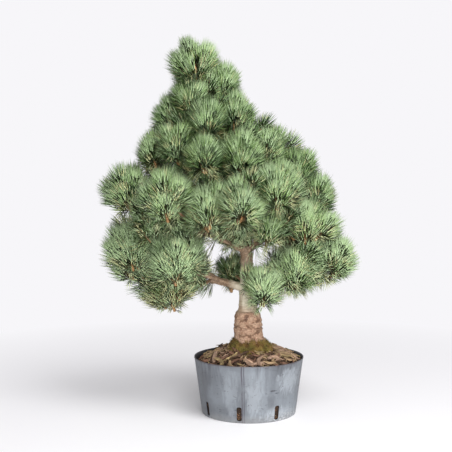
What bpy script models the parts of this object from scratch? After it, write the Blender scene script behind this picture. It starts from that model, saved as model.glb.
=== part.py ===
"""Japanese white pine grown as a young bonsai, in a round nursery pot.

Metres, +Z up, the plant's front towards -Y. The origin is the middle of the pot's flat underside.
The tree is a trunk with boughs, and masses of needles that each keep to their own space.
"""

import math
import random

import bmesh
import bpy
from mathutils import Matrix, Vector, noise

MM = 0.001
GAP = 0.35 * MM  # air between neighbouring solids
SEED = 11
PLANT_SOLVER = "MANIFOLD"  # EXACT leaves some of the plant's cuts undone

# Pot: a thin tapering wall with a flat floor and upright drain slots round its foot.
POT_HEIGHT = 106 * MM
POT_TOP_RADIUS = 103 * MM
POT_FOOT_RADIUS = 88.5 * MM
POT_WALL = 2.2 * MM
POT_FLOOR = 3.0 * MM
POT_STEPS = 32
SLOT_COUNT = 8
SLOT_FIRST_DEG = -90 - 12.4  # the first slot, left of the front
SLOT_WIDTH = 9.5 * MM
SLOT_HEIGHT = 26 * MM
SLOT_SILL = 4 * MM

# Soil: a mound of bark chips, level under the trunk, and moss round the trunk's foot.
SOIL_EDGE_HEIGHT = 96 * MM
SOIL_TOP = 119 * MM
SOIL_LEVEL_RADIUS = 42 * MM
SOIL_SLACK = 0.6 * MM
SOIL_STEPS = 30
MOUND_RINGS = 3
CHIP_COUNT = 18
CHIP_SIZE = (22 * MM, 10 * MM, 6 * MM)
CHIP_RING = (64 * MM, 88 * MM)
MOSS_RADIUS = 50 * MM
MOSS_TOP = 137 * MM
MOSS_CREST_RADIUS = 23 * MM
MOSS_STEPS = 20
MOSS_GAP = 0.7 * MM

# Trunk: (height, x, y, radius) in mm, from the root flare over the rough rootstock, the graft
# line at 192 mm and the smooth stem to the thin leader inside the crown.
TRUNK = (
    (119.35, 3, 0, 37.0),
    (123.0, 3, 0, 33.5),
    (130.0, 2, 0, 30.2),
    (140.0, 0, 0, 27.6),
    (150.0, -1, 0, 27.0),
    (159.0, -2, 0, 27.8),
    (169.0, -2, 0, 26.0),
    (180.0, -2, 0, 24.8),
    (188.0, -2, 0, 23.2),
    (192.0, -2, 0, 19.4),
    (200.0, -2, 0, 17.6),
    (213.0, -1, 0, 17.3),
    (228.0, 0, 1, 18.2),
    (240.0, -1, 2, 16.6),
    (254.0, -3, 3, 13.6),
    (275.0, -4, 5, 12.2),
    (297.0, -4, 6, 11.6),
    (325.0, -8, 9, 9.6),
    (372.0, -21, 9, 8.6),
    (428.0, -39, 7, 7.6),
    (484.0, -58, 4, 6.6),
    (539.0, -71, 2, 5.2),
    (595.0, -84, 0, 4.0),
    (636.0, -97, 0, 2.8),
)
TRUNK_RELIEF = 1.3 * MM
GRAFT_HEIGHT = 192 * MM

# Shoots: a woody tip that carries a brush of needles.
NEEDLE_LENGTH = 50 * MM
MASS_FILL = 1.12  # what a mass's half sizes are drawn out by, up to its fences
NEEDLE_REACH = 24 * MM  # how far the brush stands past the shoot's tip
SHORTEST_SPRAY = 20 * MM
SHOOT_LENGTH = 24 * MM
CORE_RADIUS = 11 * MM
CORE_SIDES = 5
STEM_RADIUS = 3.0 * MM
TWIG_RADIUS = 1.9 * MM
TWIG_ROOT = 9 * MM  # how deep a twig is sunk in its tuft
SPRAY_SPREAD_DEG = (98, 74, 20, 46)  # off the shoot: its lower sprays by turns, then its upper ones
CROWN_COSINE = -0.5  # how far round a mass its shoots stand, from straight along its axis
GOLDEN_ANGLE = math.radians(137.508)
CELL_CLEARANCE = 0.8 * MM

# Masses of foliage: name: (centre x, y, z, half size x, y, z, shoots), in mm.
MASSES = {
    "apex": (-106, 0, 652, 48, 42, 47, 5),
    "apex_right": (-44, 0, 626, 34, 34, 38, 4),
    "upper_middle": (-112, -26, 596, 38, 38, 36, 4),
    "upper_left": (-150, 6, 560, 36, 42, 42, 4),
    "upper_front": (-78, -64, 553, 38, 36, 40, 4),
    "upper_right": (-20, -12, 562, 36, 40, 46, 5),
    "upper_back": (-80, 66, 572, 46, 40, 46, 4),
    "left_high": (-179, 4, 500, 38, 42, 40, 4),
    "left_upper": (-138, -54, 512, 38, 38, 42, 4),
    "front_high": (-86, -98, 490, 36, 36, 40, 4),
    "centre_high": (-14, -66, 486, 40, 38, 46, 5),
    "left_tip": (-230, 0, 427, 50, 44, 45, 5),
    "left_front": (-154, -82, 418, 50, 44, 52, 5),
    "centre_left": (-76, -76, 396, 44, 42, 50, 5),
    "front_middle": (-14, -118, 406, 38, 36, 46, 4),
    "right_shoulder": (35, -8, 504, 44, 44, 48, 5),
    "right_high": (95, 0, 466, 37, 44, 44, 5),
    "right_front": (52, -92, 434, 44, 40, 44, 5),
    "right_middle": (128, 0, 418, 38, 42, 42, 4),
    "centre_right": (36, -62, 366, 40, 38, 38, 4),
    "right_low": (110, -30, 366, 58, 46, 40, 5),
    "lower_right": (92, -36, 280, 50, 42, 47, 5),
    "lower_right_tip": (164, -10, 300, 46, 42, 38, 4),
    "front_low": (26, -62, 252, 38, 34, 46, 4),
    "back_low": (-34, 70, 270, 27, 36, 40, 3),
    "left_under": (-178, -20, 366, 44, 42, 36, 4),
    "lower_left_outer": (-223, -6, 314, 54, 48, 56, 7),
    "lower_left": (-140, -56, 300, 54, 44, 44, 5),
    "lower_left_under": (-150, 2, 246, 66, 46, 42, 5),
    "back_high": (-64, 102, 500, 46, 40, 46, 4),
    "back_centre": (-10, 126, 428, 46, 40, 46, 4),
    "back_left": (-158, 92, 430, 54, 44, 48, 5),
    "back_right": (76, 96, 434, 52, 44, 48, 4),
    "back_lower_left": (-140, 92, 340, 50, 42, 42, 4),
    "back_lower_right": (116, 82, 334, 48, 42, 42, 4),
}

# Boughs: name: (what carries it, where on that, end x, y, z, radius at foot and tip, arch), in mm.
# Where is a height in mm on the trunk, or a share of the length of another bough.
BOUGHS = {
    "bough_lower_left": ("trunk", 231, -72, -4, 249, 9.0, 6.0, 4),
    "bough_lower_left_front": ("bough_lower_left", 0.42, -112, -38, 268, 4.6, 3.4, 4),
    "bough_lower_left_outer": ("bough_lower_left", 0.6, -188, -2, 292, 4.4, 3.2, 18),
    "bough_lower_right": ("trunk", 236, 62, -26, 262, 7.0, 4.6, -4),
    "bough_lower_right_tip": ("bough_lower_right", 0.8, 140, -10, 276, 4.2, 3.0, -4),
    "bough_left": ("trunk", 300, -108, -40, 362, 7.0, 4.6, 4),
    "bough_left_tip": ("bough_left", 0.76, -202, -2, 410, 4.4, 3.2, 6),
    "bough_left_under": ("bough_left", 0.6, -146, -14, 346, 4.2, 3.2, -4),
    "bough_right": ("trunk", 303, 66, -14, 347, 7.0, 4.8, 8),
    "bough_right_front": ("bough_right", 0.62, 38, -66, 402, 4.2, 3.2, 4),
    "bough_right_middle": ("bough_right", 0.84, 110, 4, 392, 4.2, 3.2, 4),
    "bough_front_middle": ("trunk", 352, -20, -92, 376, 4.8, 3.4, 4),
    "bough_left_high": ("trunk", 424, -158, 4, 464, 4.8, 3.4, 5),
    "bough_right_high": ("trunk", 392, 80, 4, 434, 5.2, 3.6, 5),
    "bough_right_shoulder": ("trunk", 446, 14, -6, 476, 4.6, 3.4, 4),
    "bough_back_high": ("trunk", 456, -60, 74, 474, 4.4, 3.2, 4),
    "bough_back_centre": ("trunk", 380, -12, 96, 402, 4.8, 3.4, 4),
    "bough_back_left": ("trunk", 372, -124, 70, 402, 5.2, 3.6, 5),
    "bough_back_right": ("trunk", 364, 52, 74, 404, 5.2, 3.6, 5),
    "bough_back_lower_left": ("trunk", 322, -112, 70, 336, 4.8, 3.4, -3),
}

# Which bough ends at each mass. A mass that isn't here stands on the trunk at that height, in mm.
CARRIED_BY = {
    "apex": 636,
    "apex_right": 600,
    "upper_middle": 574,
    "upper_left": 530,
    "upper_front": 524,
    "upper_right": 516,
    "upper_back": 540,
    "left_high": "bough_left_high",
    "left_upper": 472,
    "front_high": 458,
    "centre_high": 440,
    "left_tip": "bough_left_tip",
    "left_front": "bough_left",
    "centre_left": 334,
    "front_middle": "bough_front_middle",
    "right_shoulder": "bough_right_shoulder",
    "right_high": "bough_right_high",
    "right_front": "bough_right_front",
    "right_middle": "bough_right_middle",
    "centre_right": 330,
    "right_low": "bough_right",
    "lower_right": "bough_lower_right",
    "lower_right_tip": "bough_lower_right_tip",
    "front_low": 232,
    "back_low": 248,
    "left_under": "bough_left_under",
    "lower_left_outer": "bough_lower_left_outer",
    "lower_left": "bough_lower_left_front",
    "lower_left_under": "bough_lower_left",
    "back_high": "bough_back_high",
    "back_centre": "bough_back_centre",
    "back_left": "bough_back_left",
    "back_right": "bough_back_right",
    "back_lower_left": "bough_back_lower_left",
    "back_lower_right": 336,
}

UP = Vector((0, 0, 1))


# Scene and materials


def clear_scene():
    for obj in list(bpy.data.objects):
        bpy.data.objects.remove(obj, do_unlink=True)


def new_collection(name):
    made = bpy.data.collections.new(name)
    bpy.context.scene.collection.children.link(made)
    return made


def new_material(name, colour, roughness, metallic=0.0):
    made = bpy.data.materials.new(name)
    made.use_nodes = True
    shader = made.node_tree.nodes["Principled BSDF"]
    shader.inputs["Base Color"].default_value = (*colour, 1)
    shader.inputs["Roughness"].default_value = roughness
    shader.inputs["Metallic"].default_value = metallic
    return made


def object_from(bm, name, collection, material=None):
    mesh = bpy.data.meshes.new(name)
    bm.to_mesh(mesh)
    bm.free()
    made = bpy.data.objects.new(name, mesh)
    collection.objects.link(made)
    if material:
        mesh.materials.append(material)
    return made


def apply_modifiers(obj):
    """Replaces the object's mesh by the evaluated one and drops its modifiers."""
    bpy.context.view_layer.update()
    graph = bpy.context.evaluated_depsgraph_get()
    mesh = bpy.data.meshes.new_from_object(obj.evaluated_get(graph))
    obj.modifiers.clear()
    obj.data = mesh


def keep_largest_body(obj):
    """Deletes every loose scrap of a mesh but its largest connected body."""
    bm = bmesh.new()
    bm.from_mesh(obj.data)
    left, bodies = set(bm.verts), []
    while left:
        queue = [left.pop()]
        body = set(queue)
        while queue:
            for edge in queue.pop().link_edges:
                for vert in edge.verts:
                    if vert in left:
                        left.discard(vert)
                        body.add(vert)
                        queue.append(vert)
        bodies.append(body)
    bodies.sort(key=len, reverse=True)
    for body in bodies[1:]:
        bmesh.ops.delete(bm, geom=list(body), context="VERTS")
    bm.to_mesh(obj.data)
    bm.free()


def boolean(obj, operation, others, solver="EXACT"):
    """Joins or cuts obj with every object of a helper collection, which is then removed."""
    helper = new_collection(obj.name + "_helpers")
    for other in others:
        for old in list(other.users_collection):
            old.objects.unlink(other)
        helper.objects.link(other)
        other.hide_render = True
        other.display_type = "WIRE"
    modifier = obj.modifiers.new("join", "BOOLEAN")
    modifier.operation = operation
    modifier.operand_type = "COLLECTION"
    modifier.collection = helper
    modifier.solver = solver
    apply_modifiers(obj)
    for other in others:
        bpy.data.objects.remove(other, do_unlink=True)
    bpy.data.collections.remove(helper)


# Limbs


def limb_object(name, points, radii, roundness, collection, material):
    """A round tapering limb through points, from a bevelled curve with filled caps."""
    curve = bpy.data.curves.new(name, "CURVE")
    curve.dimensions = "3D"
    curve.bevel_depth = 1.0
    curve.bevel_resolution = roundness
    curve.use_fill_caps = True
    spline = curve.splines.new("POLY")
    spline.points.add(len(points) - 1)
    for knot, point, radius in zip(spline.points, points, radii):
        knot.co = (*point, 1)
        knot.radius = radius
    source = bpy.data.objects.new(name + "_curve", curve)
    bpy.context.scene.collection.objects.link(source)
    bpy.context.view_layer.update()
    graph = bpy.context.evaluated_depsgraph_get()
    mesh = bpy.data.meshes.new_from_object(source.evaluated_get(graph))
    bpy.data.objects.remove(source, do_unlink=True)
    bm = bmesh.new()
    bm.from_mesh(mesh)
    bmesh.ops.remove_doubles(bm, verts=bm.verts, dist=0.01 * MM)
    bmesh.ops.recalc_face_normals(bm, faces=bm.faces)
    bmesh.ops.triangulate(bm, faces=bm.faces)
    made = object_from(bm, name, collection, material)
    made.data.shade_smooth()
    return made


def swollen(obj, by):
    """A copy of obj with its surface moved out by a distance, as a cutter."""
    bm = bmesh.new()
    bm.from_mesh(obj.data)
    bm.normal_update()
    shift = [vert.normal * by for vert in bm.verts]
    for vert, move in zip(bm.verts, shift):
        vert.co += move
    return object_from(bm, obj.name + "_swollen", bpy.context.scene.collection)


def cone_between(start, end, start_radius, end_radius, sides, name):
    """A tapering twig with flat ends, from a cone primitive."""
    along = end - start
    bm = bmesh.new()
    turn = along.to_track_quat("Z", "Y").to_matrix().to_4x4()
    bmesh.ops.create_cone(
        bm,
        cap_ends=True,
        segments=sides,
        radius1=start_radius,
        radius2=end_radius,
        depth=along.length,
        matrix=Matrix.Translation((start + end) / 2) @ turn,
    )
    return object_from(bm, name, bpy.context.scene.collection)


def trunk_path():
    """The trunk's knots and radii."""
    return [Vector((x, y, z)) * MM for z, x, y, _ in TRUNK], [row[3] * MM for row in TRUNK]


def on_trunk(height):
    """The point and radius of the trunk's axis at a height."""
    for low, high in zip(TRUNK, TRUNK[1:]):
        if low[0] * MM <= height <= high[0] * MM:
            share = (height - low[0] * MM) / ((high[0] - low[0]) * MM)
            x, y, radius = (low[k] * MM + share * (high[k] - low[k]) * MM for k in (1, 2, 3))
            return Vector((x, y, height)), radius
    top = TRUNK[-1]
    return Vector((top[1], top[2], top[0])) * MM, top[3] * MM


def on_path(path, share):
    """The point and radius at a share of a bough's knots."""
    points, radii = path
    place = share * (len(points) - 1)
    i = min(int(place), len(points) - 2)
    radius = radii[i] + (place - i) * (radii[i + 1] - radii[i])
    return points[i].lerp(points[i + 1], place - i), radius


def bough_path(start, end, start_radius, end_radius, arch, knots=5):
    """Knots of a limb that leaves steeply and bends over by its arch."""
    middle = (start + end) / 2 + UP * arch
    points, radii = [], []
    for i in range(knots):
        t = i / (knots - 1)
        points.append(start * (1 - t) ** 2 + middle * (2 * t * (1 - t)) + end * t**2)
        radii.append(start_radius + (end_radius - start_radius) * t**0.8)
    return points, radii


def make_trunk(collection, material):
    """The trunk, its surface uneven: most on the rootstock, below the graft line."""
    points, radii = trunk_path()
    trunk = limb_object("trunk", points, radii, 4, collection, material)
    for vert in trunk.data.vertices:
        axis, radius = on_trunk(max(vert.co.z, points[0].z))
        out = vert.co - axis
        out.z = 0
        if vert.co.z < points[-1].z - 5 * MM and out.length > radius * 0.5:
            rough = TRUNK_RELIEF if vert.co.z < GRAFT_HEIGHT else TRUNK_RELIEF * radius / (40 * MM)
            vert.co += out.normalized() * rough * noise.noise(vert.co * 70)
    return trunk


def make_boughs(trunk, collection, material):
    """Every bough, cut clear of what carries it, and the paths they follow."""
    made, paths = {"trunk": trunk}, {}
    for name, row in BOUGHS.items():
        carrier, where, x, y, z, foot, tip, arch = row
        end = Vector((x, y, z)) * MM
        start = on_trunk(where * MM)[0] if carrier == "trunk" else on_path(paths[carrier], where)[0]
        path = bough_path(start, end, foot * MM, tip * MM, arch * MM)
        roundness = 2 if foot > 5 else 1
        limb = limb_object(name, *path, roundness, collection, material)
        boolean(limb, "DIFFERENCE", [swollen(made[carrier], GAP)], PLANT_SOLVER)
        keep_largest_body(limb)
        made[name], paths[name] = limb, path
    return made, paths


# Foliage


class Mass:
    """One mass of foliage: where it stands, the space that it keeps to and its shoots."""

    def __init__(self, name, paths):
        x, y, z, rx, ry, rz, shoots = MASSES[name]
        self.name = name
        self.centre = Vector((x, y, z)) * MM
        self.half = Vector((rx, ry, rz)) * MM * MASS_FILL
        self.shoots = shoots
        self.planes = []
        carrier = CARRIED_BY[name]
        outward = self.centre - on_trunk(self.centre.z)[0]
        outward.z = 0
        outward.normalize()
        self.axis = (outward * 0.5 + UP * 0.85).normalized()
        hub = self.centre - self.axis * 0.42 * min(self.half)
        if carrier in paths:
            foot = paths[carrier][0][-1]
        else:
            foot, _ = on_trunk(carrier * MM)
        self.carrier = carrier if carrier in paths else "trunk"
        self.foot, self.hub = foot, hub

    def reach_along(self, direction):
        """Half the mass's size along a direction."""
        return 1 / math.sqrt(sum((direction[k] / self.half[k]) ** 2 for k in range(3)))

    def room_along(self, point, direction):
        """How far one can go from a point and stay inside the mass's ellipsoid."""
        near = [(point[k] - self.centre[k]) / self.half[k] for k in range(3)]
        pace = [direction[k] / self.half[k] for k in range(3)]
        a = sum(v * v for v in pace)
        b = sum(v * w for v, w in zip(near, pace))
        c = sum(v * v for v in near) - 1
        return max(0.0, (math.sqrt(b * b - a * c) - b) / a) if b * b > a * c else 0.0

    def fence(self, others):
        """Planes that part this mass's space from each other mass's, point and outward normal."""
        for other in others:
            apart = other.centre - self.centre
            direction = apart.normalized()
            mine, theirs = self.reach_along(direction), other.reach_along(direction)
            share = mine / (mine + theirs)
            self.planes.append((self.centre + apart * share, direction))


def room_along(point, direction, planes, clearance):
    """How far one can go from point along direction and stay inside every plane."""
    room = 10.0
    for place, normal in planes:
        inside = (place - point).dot(normal) - clearance
        pace = direction.dot(normal)
        if inside <= 0:
            return 0.0
        if pace > 1e-9:
            room = min(room, inside / pace)
    return room


def distance_to_limb(point, limb):
    """From a point to a limb's surface, and the way straight off the limb."""
    best, way = 10.0, UP
    points, radii = limb
    for a, b, ra, rb in zip(points, points[1:], radii, radii[1:]):
        span = b - a
        t = max(0.0, min(1.0, (point - a).dot(span) / max(span.length_squared, 1e-12)))
        off = point - (a + span * t)
        found = off.length - (ra + (rb - ra) * t)
        if found < best:
            best, way = found, off.normalized()
    return best, way


def settle(point, planes, limbs, clearance):
    """Moves a point until it is clear of the fences and the limbs."""
    point = point.copy()
    for _ in range(8):
        for limb in limbs:
            away, way = distance_to_limb(point, limb)
            if away < clearance:
                point += way * (clearance - away)
        for place, normal in planes:
            over = (point - place).dot(normal) + clearance
            if over > 0:
                point -= normal * over
    return point


def shoot_places(mass, limbs, rng):
    """Foot and tip of each shoot, spread round the mass's axis by the golden angle."""
    turn = mass.axis.to_track_quat("Z", "Y")
    first = rng.uniform(0, 2 * math.pi)
    clearance = CORE_RADIUS + CELL_CLEARANCE + 0.6 * MM
    places = []
    for i in range(mass.shoots):
        cosine = 1 - (1 - CROWN_COSINE) * (i + 0.35) / mass.shoots
        sine = math.sqrt(1 - cosine * cosine)
        angle = first + i * GOLDEN_ANGLE
        out = turn @ Vector((sine * math.cos(angle), sine * math.sin(angle), cosine))
        reach = max(mass.reach_along(out) - NEEDLE_REACH, 0.2 * mass.reach_along(out))
        tip = settle(mass.centre + out * reach, mass.planes, limbs, clearance)
        lean = (out + UP * 0.55).normalized()
        foot = settle(tip - lean * SHOOT_LENGTH, mass.planes, limbs, clearance)
        if (tip - foot).length > 0.5 * SHOOT_LENGTH:
            places.append((foot, tip))
    return places


def spray_length(start, direction, mass, planes, limbs):
    """How long a spray may be before it leaves its space or meets a limb."""
    room = min(NEEDLE_LENGTH, room_along(start, direction, planes, CELL_CLEARANCE))
    room = min(room, mass.room_along(start, direction))
    steps = 8
    for i in range(1, steps + 1):
        share = i / steps
        point = start + direction * room * share
        width = 1.0 * MM + 4.5 * MM * (1 - share)
        if any(distance_to_limb(point, limb)[0] < width for limb in limbs):
            return room * (i - 1) / steps
    return room


def make_tuft(foot, tip, mass, planes, limbs):
    """A slim core, each face of which is drawn out to a pointed spray of needles."""
    along = tip - foot
    place = Matrix.Translation((foot + tip) / 2) @ along.to_track_quat("Z", "Y").to_matrix().to_4x4()
    bm = bmesh.new()
    bmesh.ops.create_uvsphere(bm, u_segments=CORE_SIDES, v_segments=2, radius=1)
    bmesh.ops.scale(bm, vec=(CORE_RADIUS, CORE_RADIUS, along.length / 2), verts=bm.verts)
    for face in list(bm.faces):
        centre = face.calc_center_median()
        azimuth = math.atan2(centre.y, centre.x)
        turn = int(azimuth // (math.tau / CORE_SIDES)) % 2
        spread = math.radians(SPRAY_SPREAD_DEG[turn + 2 * (centre.z > 0)])
        side = Vector((math.cos(azimuth), math.sin(azimuth), 0))
        direction = UP * math.cos(spread) + side * math.sin(spread)
        length = spray_length(place @ centre, place.to_3x3() @ direction, mass, planes, limbs)
        if length > SHORTEST_SPRAY:
            top = bmesh.ops.poke(bm, faces=[face])["verts"][0]
            top.co = centre + direction * length
    bmesh.ops.transform(bm, matrix=place, verts=bm.verts)
    return object_from(bm, "tuft", bpy.context.scene.collection)


def make_mass(mass, limbs, rng, collection, material):
    """A stem, its twigs and their tufts, fused into one solid."""
    places = shoot_places(mass, limbs, rng)
    heads = [(foot + tip) / 2 for foot, tip in places]
    stem = cone_between(mass.foot, mass.hub, STEM_RADIUS, TWIG_RADIUS * 1.2, 5, mass.name)
    joined = []
    for head, (foot, tip) in zip(heads, places):
        start = mass.hub - (foot - mass.hub).normalized() * TWIG_RADIUS
        root = foot + (tip - foot).normalized() * TWIG_ROOT
        joined.append(cone_between(start, root, TWIG_RADIUS, TWIG_RADIUS * 0.8, 3, "twig"))
        fences = list(mass.planes)
        for other in heads:
            if other is not head:
                fences.append(((head + other) / 2, (other - head).normalized()))
        joined.append(make_tuft(foot, tip, mass, fences, limbs))
    bpy.context.scene.collection.objects.unlink(stem)
    collection.objects.link(stem)
    stem.data.materials.append(material)
    boolean(stem, "UNION", joined, PLANT_SOLVER)
    keep_largest_body(stem)
    return stem


def make_foliage(made, paths, collection, material):
    masses = [Mass(name, paths) for name in MASSES]
    for mass in masses:
        mass.fence([other for other in masses if other is not mass])
    wood = [trunk_path()] + list(paths.values())
    stems = {m.name: ([m.foot, m.hub], [STEM_RADIUS, STEM_RADIUS]) for m in masses}
    for number, mass in enumerate(masses):
        rng = random.Random(SEED + number)
        limbs = wood + [stems[m.name] for m in masses if m is not mass]
        solid = make_mass(mass, limbs, rng, collection, material)
        boolean(solid, "DIFFERENCE", [swollen(made[mass.carrier], GAP)], PLANT_SOLVER)
        keep_largest_body(solid)


# Pot, soil and moss


def turned(name, profile, steps, collection, material):
    """A solid of revolution from (radius, height) pairs that run out from the axis and back."""
    bm = bmesh.new()
    verts = [bm.verts.new((radius, 0, height)) for radius, height in profile]
    for a, b in zip(verts, verts[1:]):
        bm.edges.new((a, b))
    made = object_from(bm, name, collection, material)
    screw = made.modifiers.new("turn", "SCREW")
    screw.axis = "Z"
    screw.steps = screw.render_steps = steps
    screw.use_merge_vertices = True
    screw.merge_threshold = 0.01 * MM
    apply_modifiers(made)
    return made


def slot_cutter(angle):
    """A rounded upright block through the pot's wall."""
    bm = bmesh.new()
    bmesh.ops.create_cube(bm, size=1)
    bmesh.ops.scale(bm, vec=(24 * MM, SLOT_WIDTH, SLOT_HEIGHT), verts=bm.verts)
    along = [e for e in bm.edges if abs((e.verts[0].co - e.verts[1].co).normalized().x) > 0.9]
    bmesh.ops.bevel(bm, geom=along, offset=SLOT_WIDTH * 0.38, segments=2, affect="EDGES", profile=0.5)
    out = Matrix.Translation((POT_FOOT_RADIUS, 0, SLOT_SILL + SLOT_HEIGHT / 2))
    bmesh.ops.transform(bm, matrix=Matrix.Rotation(angle, 4, "Z") @ out, verts=bm.verts)
    return object_from(bm, "slot", bpy.context.scene.collection)


def make_pot(collection, material):
    profile = (
        (0, POT_FLOOR),
        (POT_FOOT_RADIUS - POT_WALL, POT_FLOOR),
        (POT_TOP_RADIUS - POT_WALL, POT_HEIGHT),
        (POT_TOP_RADIUS, POT_HEIGHT),
        (POT_FOOT_RADIUS, 0),
        (0, 0),
    )
    pot = turned("pot", profile, POT_STEPS, collection, material)
    step = 2 * math.pi / SLOT_COUNT
    first = math.radians(SLOT_FIRST_DEG)
    boolean(pot, "DIFFERENCE", [slot_cutter(first + k * step) for k in range(SLOT_COUNT)])
    return pot


def inner_radius(height):
    """The pot's inside radius at a height."""
    share = (height - POT_FLOOR) / (POT_HEIGHT - POT_FLOOR)
    return POT_FOOT_RADIUS - POT_WALL + share * (POT_TOP_RADIUS - POT_FOOT_RADIUS)


def soil_height(radius):
    """The mound's surface at a distance from its middle."""
    edge = inner_radius(SOIL_EDGE_HEIGHT)
    share = max(0.0, min(1.0, (radius - SOIL_LEVEL_RADIUS) / (edge - SOIL_LEVEL_RADIUS)))
    return SOIL_TOP + (SOIL_EDGE_HEIGHT - SOIL_TOP) * share * (0.6 + 0.4 * share)


def chip_on_soil(index, rng):
    """One bark chip that lies in the mound, half sunk."""
    share = (index + 0.5) / CHIP_COUNT
    inner, outer = CHIP_RING
    radius = math.sqrt(inner**2 + share * (outer**2 - inner**2))
    angle = index * GOLDEN_ANGLE
    bm = bmesh.new()
    bmesh.ops.create_cube(bm, size=1)
    grow = [size * rng.uniform(0.7, 1.15) for size in CHIP_SIZE]
    bmesh.ops.scale(bm, vec=grow, verts=bm.verts)
    for vert in bm.verts:
        vert.co.x *= rng.uniform(0.75, 1.0)
        vert.co.y *= rng.uniform(0.6, 1.0)
    roll = Matrix.Rotation(rng.uniform(-0.3, 0.3), 4, "X")
    tilt = Matrix.Rotation(rng.uniform(-0.25, 0.25), 4, "Y")
    turn = Matrix.Rotation(angle + math.pi / 2 + rng.uniform(-0.9, 0.9), 4, "Z")
    place = Vector((radius * math.cos(angle), radius * math.sin(angle), soil_height(radius)))
    reach = inner_radius(SOIL_EDGE_HEIGHT) - 2 * MM
    bmesh.ops.transform(bm, matrix=Matrix.Translation(place) @ turn @ tilt @ roll, verts=bm.verts)
    for vert in bm.verts:
        away = math.hypot(vert.co.x, vert.co.y)
        if away > reach:
            vert.co.x, vert.co.y = vert.co.x * reach / away, vert.co.y * reach / away
    return object_from(bm, "chip", bpy.context.scene.collection)


def make_soil(collection, material):
    """The filling of the pot: it stands clear of the wall and floor by a little."""
    low = POT_FLOOR + GAP
    edge = inner_radius(SOIL_EDGE_HEIGHT) - SOIL_SLACK
    profile = [(0, SOIL_TOP)]
    for k in range(MOUND_RINGS + 1):
        radius = SOIL_LEVEL_RADIUS + (edge - SOIL_LEVEL_RADIUS) * k / MOUND_RINGS
        profile.append((radius, soil_height(radius)))
    profile += [(inner_radius(low) - SOIL_SLACK, low), (0, low)]
    soil = turned("soil", profile, SOIL_STEPS, collection, material)
    rng = random.Random(SEED)
    boolean(soil, "UNION", [chip_on_soil(k, rng) for k in range(CHIP_COUNT)])
    keep_largest_body(soil)
    return soil


def make_moss(trunk, collection, material):
    """A cushion of moss that lies on the mound and laps up the root flare."""
    profile = [(0, MOSS_TOP)]
    for k in range(MOUND_RINGS + 1):
        share = k / MOUND_RINGS
        radius = MOSS_CREST_RADIUS + (MOSS_RADIUS - MOSS_CREST_RADIUS) * share
        foot = soil_height(radius) + MOSS_GAP
        profile.append((radius, foot + (MOSS_TOP - foot) * (1 - share) ** 0.8 + 1.2 * MM * (1 - share)))
    profile += [(SOIL_LEVEL_RADIUS, SOIL_TOP + MOSS_GAP), (0, SOIL_TOP + MOSS_GAP)]
    moss = turned("moss", profile, MOSS_STEPS, collection, material)
    for vert in moss.data.vertices:
        above = vert.co.z - soil_height(math.hypot(vert.co.x, vert.co.y)) - GAP
        if above > 1 * MM:
            vert.co.z += 0.5 * above * noise.noise(vert.co * 60)
    boolean(moss, "DIFFERENCE", [swollen(trunk, MOSS_GAP)])
    keep_largest_body(moss)
    return moss


def main():
    clear_scene()
    plant = new_collection("white_pine")
    bark = new_material("bark", (0.34, 0.24, 0.17), 0.85)
    needles = new_material("needles", (0.20, 0.31, 0.17), 0.6)
    grey = new_material("pot_plastic", (0.30, 0.34, 0.37), 0.5)
    mulch = new_material("bark_mulch", (0.25, 0.15, 0.09), 0.9)
    green = new_material("moss", (0.17, 0.16, 0.05), 0.95)
    make_pot(plant, grey)
    make_soil(plant, mulch)
    trunk = make_trunk(plant, bark)
    make_moss(trunk, plant, green)
    made, paths = make_boughs(trunk, plant, bark)
    make_foliage(made, paths, plant, needles)


main()
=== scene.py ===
"""The looks of a Japanese white pine grown as a young bonsai, in a round nursery pot.

Metres, +Z up, the plant's front towards -Y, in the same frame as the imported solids.
The limbs grow by the same rule and from the same named sizes as the solids; here they carry on
into finer twigs, buds and bundles of five needles.
"""

import math
import random
from collections import namedtuple

import bmesh
import bpy
import numpy as np
from bpy.props import FloatProperty, FloatVectorProperty, IntProperty, PointerProperty
from bpy.types import Operator, Panel, PropertyGroup
from mathutils import Matrix, Vector, noise


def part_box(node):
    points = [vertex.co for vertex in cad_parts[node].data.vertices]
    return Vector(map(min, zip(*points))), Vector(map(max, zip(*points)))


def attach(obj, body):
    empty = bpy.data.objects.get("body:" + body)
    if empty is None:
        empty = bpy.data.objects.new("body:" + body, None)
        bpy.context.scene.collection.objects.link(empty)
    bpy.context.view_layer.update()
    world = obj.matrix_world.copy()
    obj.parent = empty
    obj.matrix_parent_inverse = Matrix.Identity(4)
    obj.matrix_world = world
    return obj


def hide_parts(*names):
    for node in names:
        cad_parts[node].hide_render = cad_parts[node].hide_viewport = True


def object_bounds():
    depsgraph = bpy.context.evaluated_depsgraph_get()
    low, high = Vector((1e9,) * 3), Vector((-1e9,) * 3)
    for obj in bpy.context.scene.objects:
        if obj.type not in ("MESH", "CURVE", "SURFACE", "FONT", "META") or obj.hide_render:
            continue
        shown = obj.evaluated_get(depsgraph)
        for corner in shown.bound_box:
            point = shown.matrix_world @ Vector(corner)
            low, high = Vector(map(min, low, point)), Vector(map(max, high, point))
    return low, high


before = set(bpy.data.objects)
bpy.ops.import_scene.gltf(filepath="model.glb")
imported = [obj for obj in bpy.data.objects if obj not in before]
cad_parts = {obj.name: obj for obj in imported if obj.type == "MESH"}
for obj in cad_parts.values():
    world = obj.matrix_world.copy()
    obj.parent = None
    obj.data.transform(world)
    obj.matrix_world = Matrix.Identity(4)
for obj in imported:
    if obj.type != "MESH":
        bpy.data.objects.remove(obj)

bl_info = {
    "name": "White pine bonsai",
    "version": (1, 0, 0),
    "blender": (4, 5, 0),
    "location": "3D View > Sidebar > White pine",
    "description": "Grows a young white pine in a nursery pot, down to its needles",
    "category": "Object",
}

CAD_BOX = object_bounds()
BODY = "root"

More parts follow.
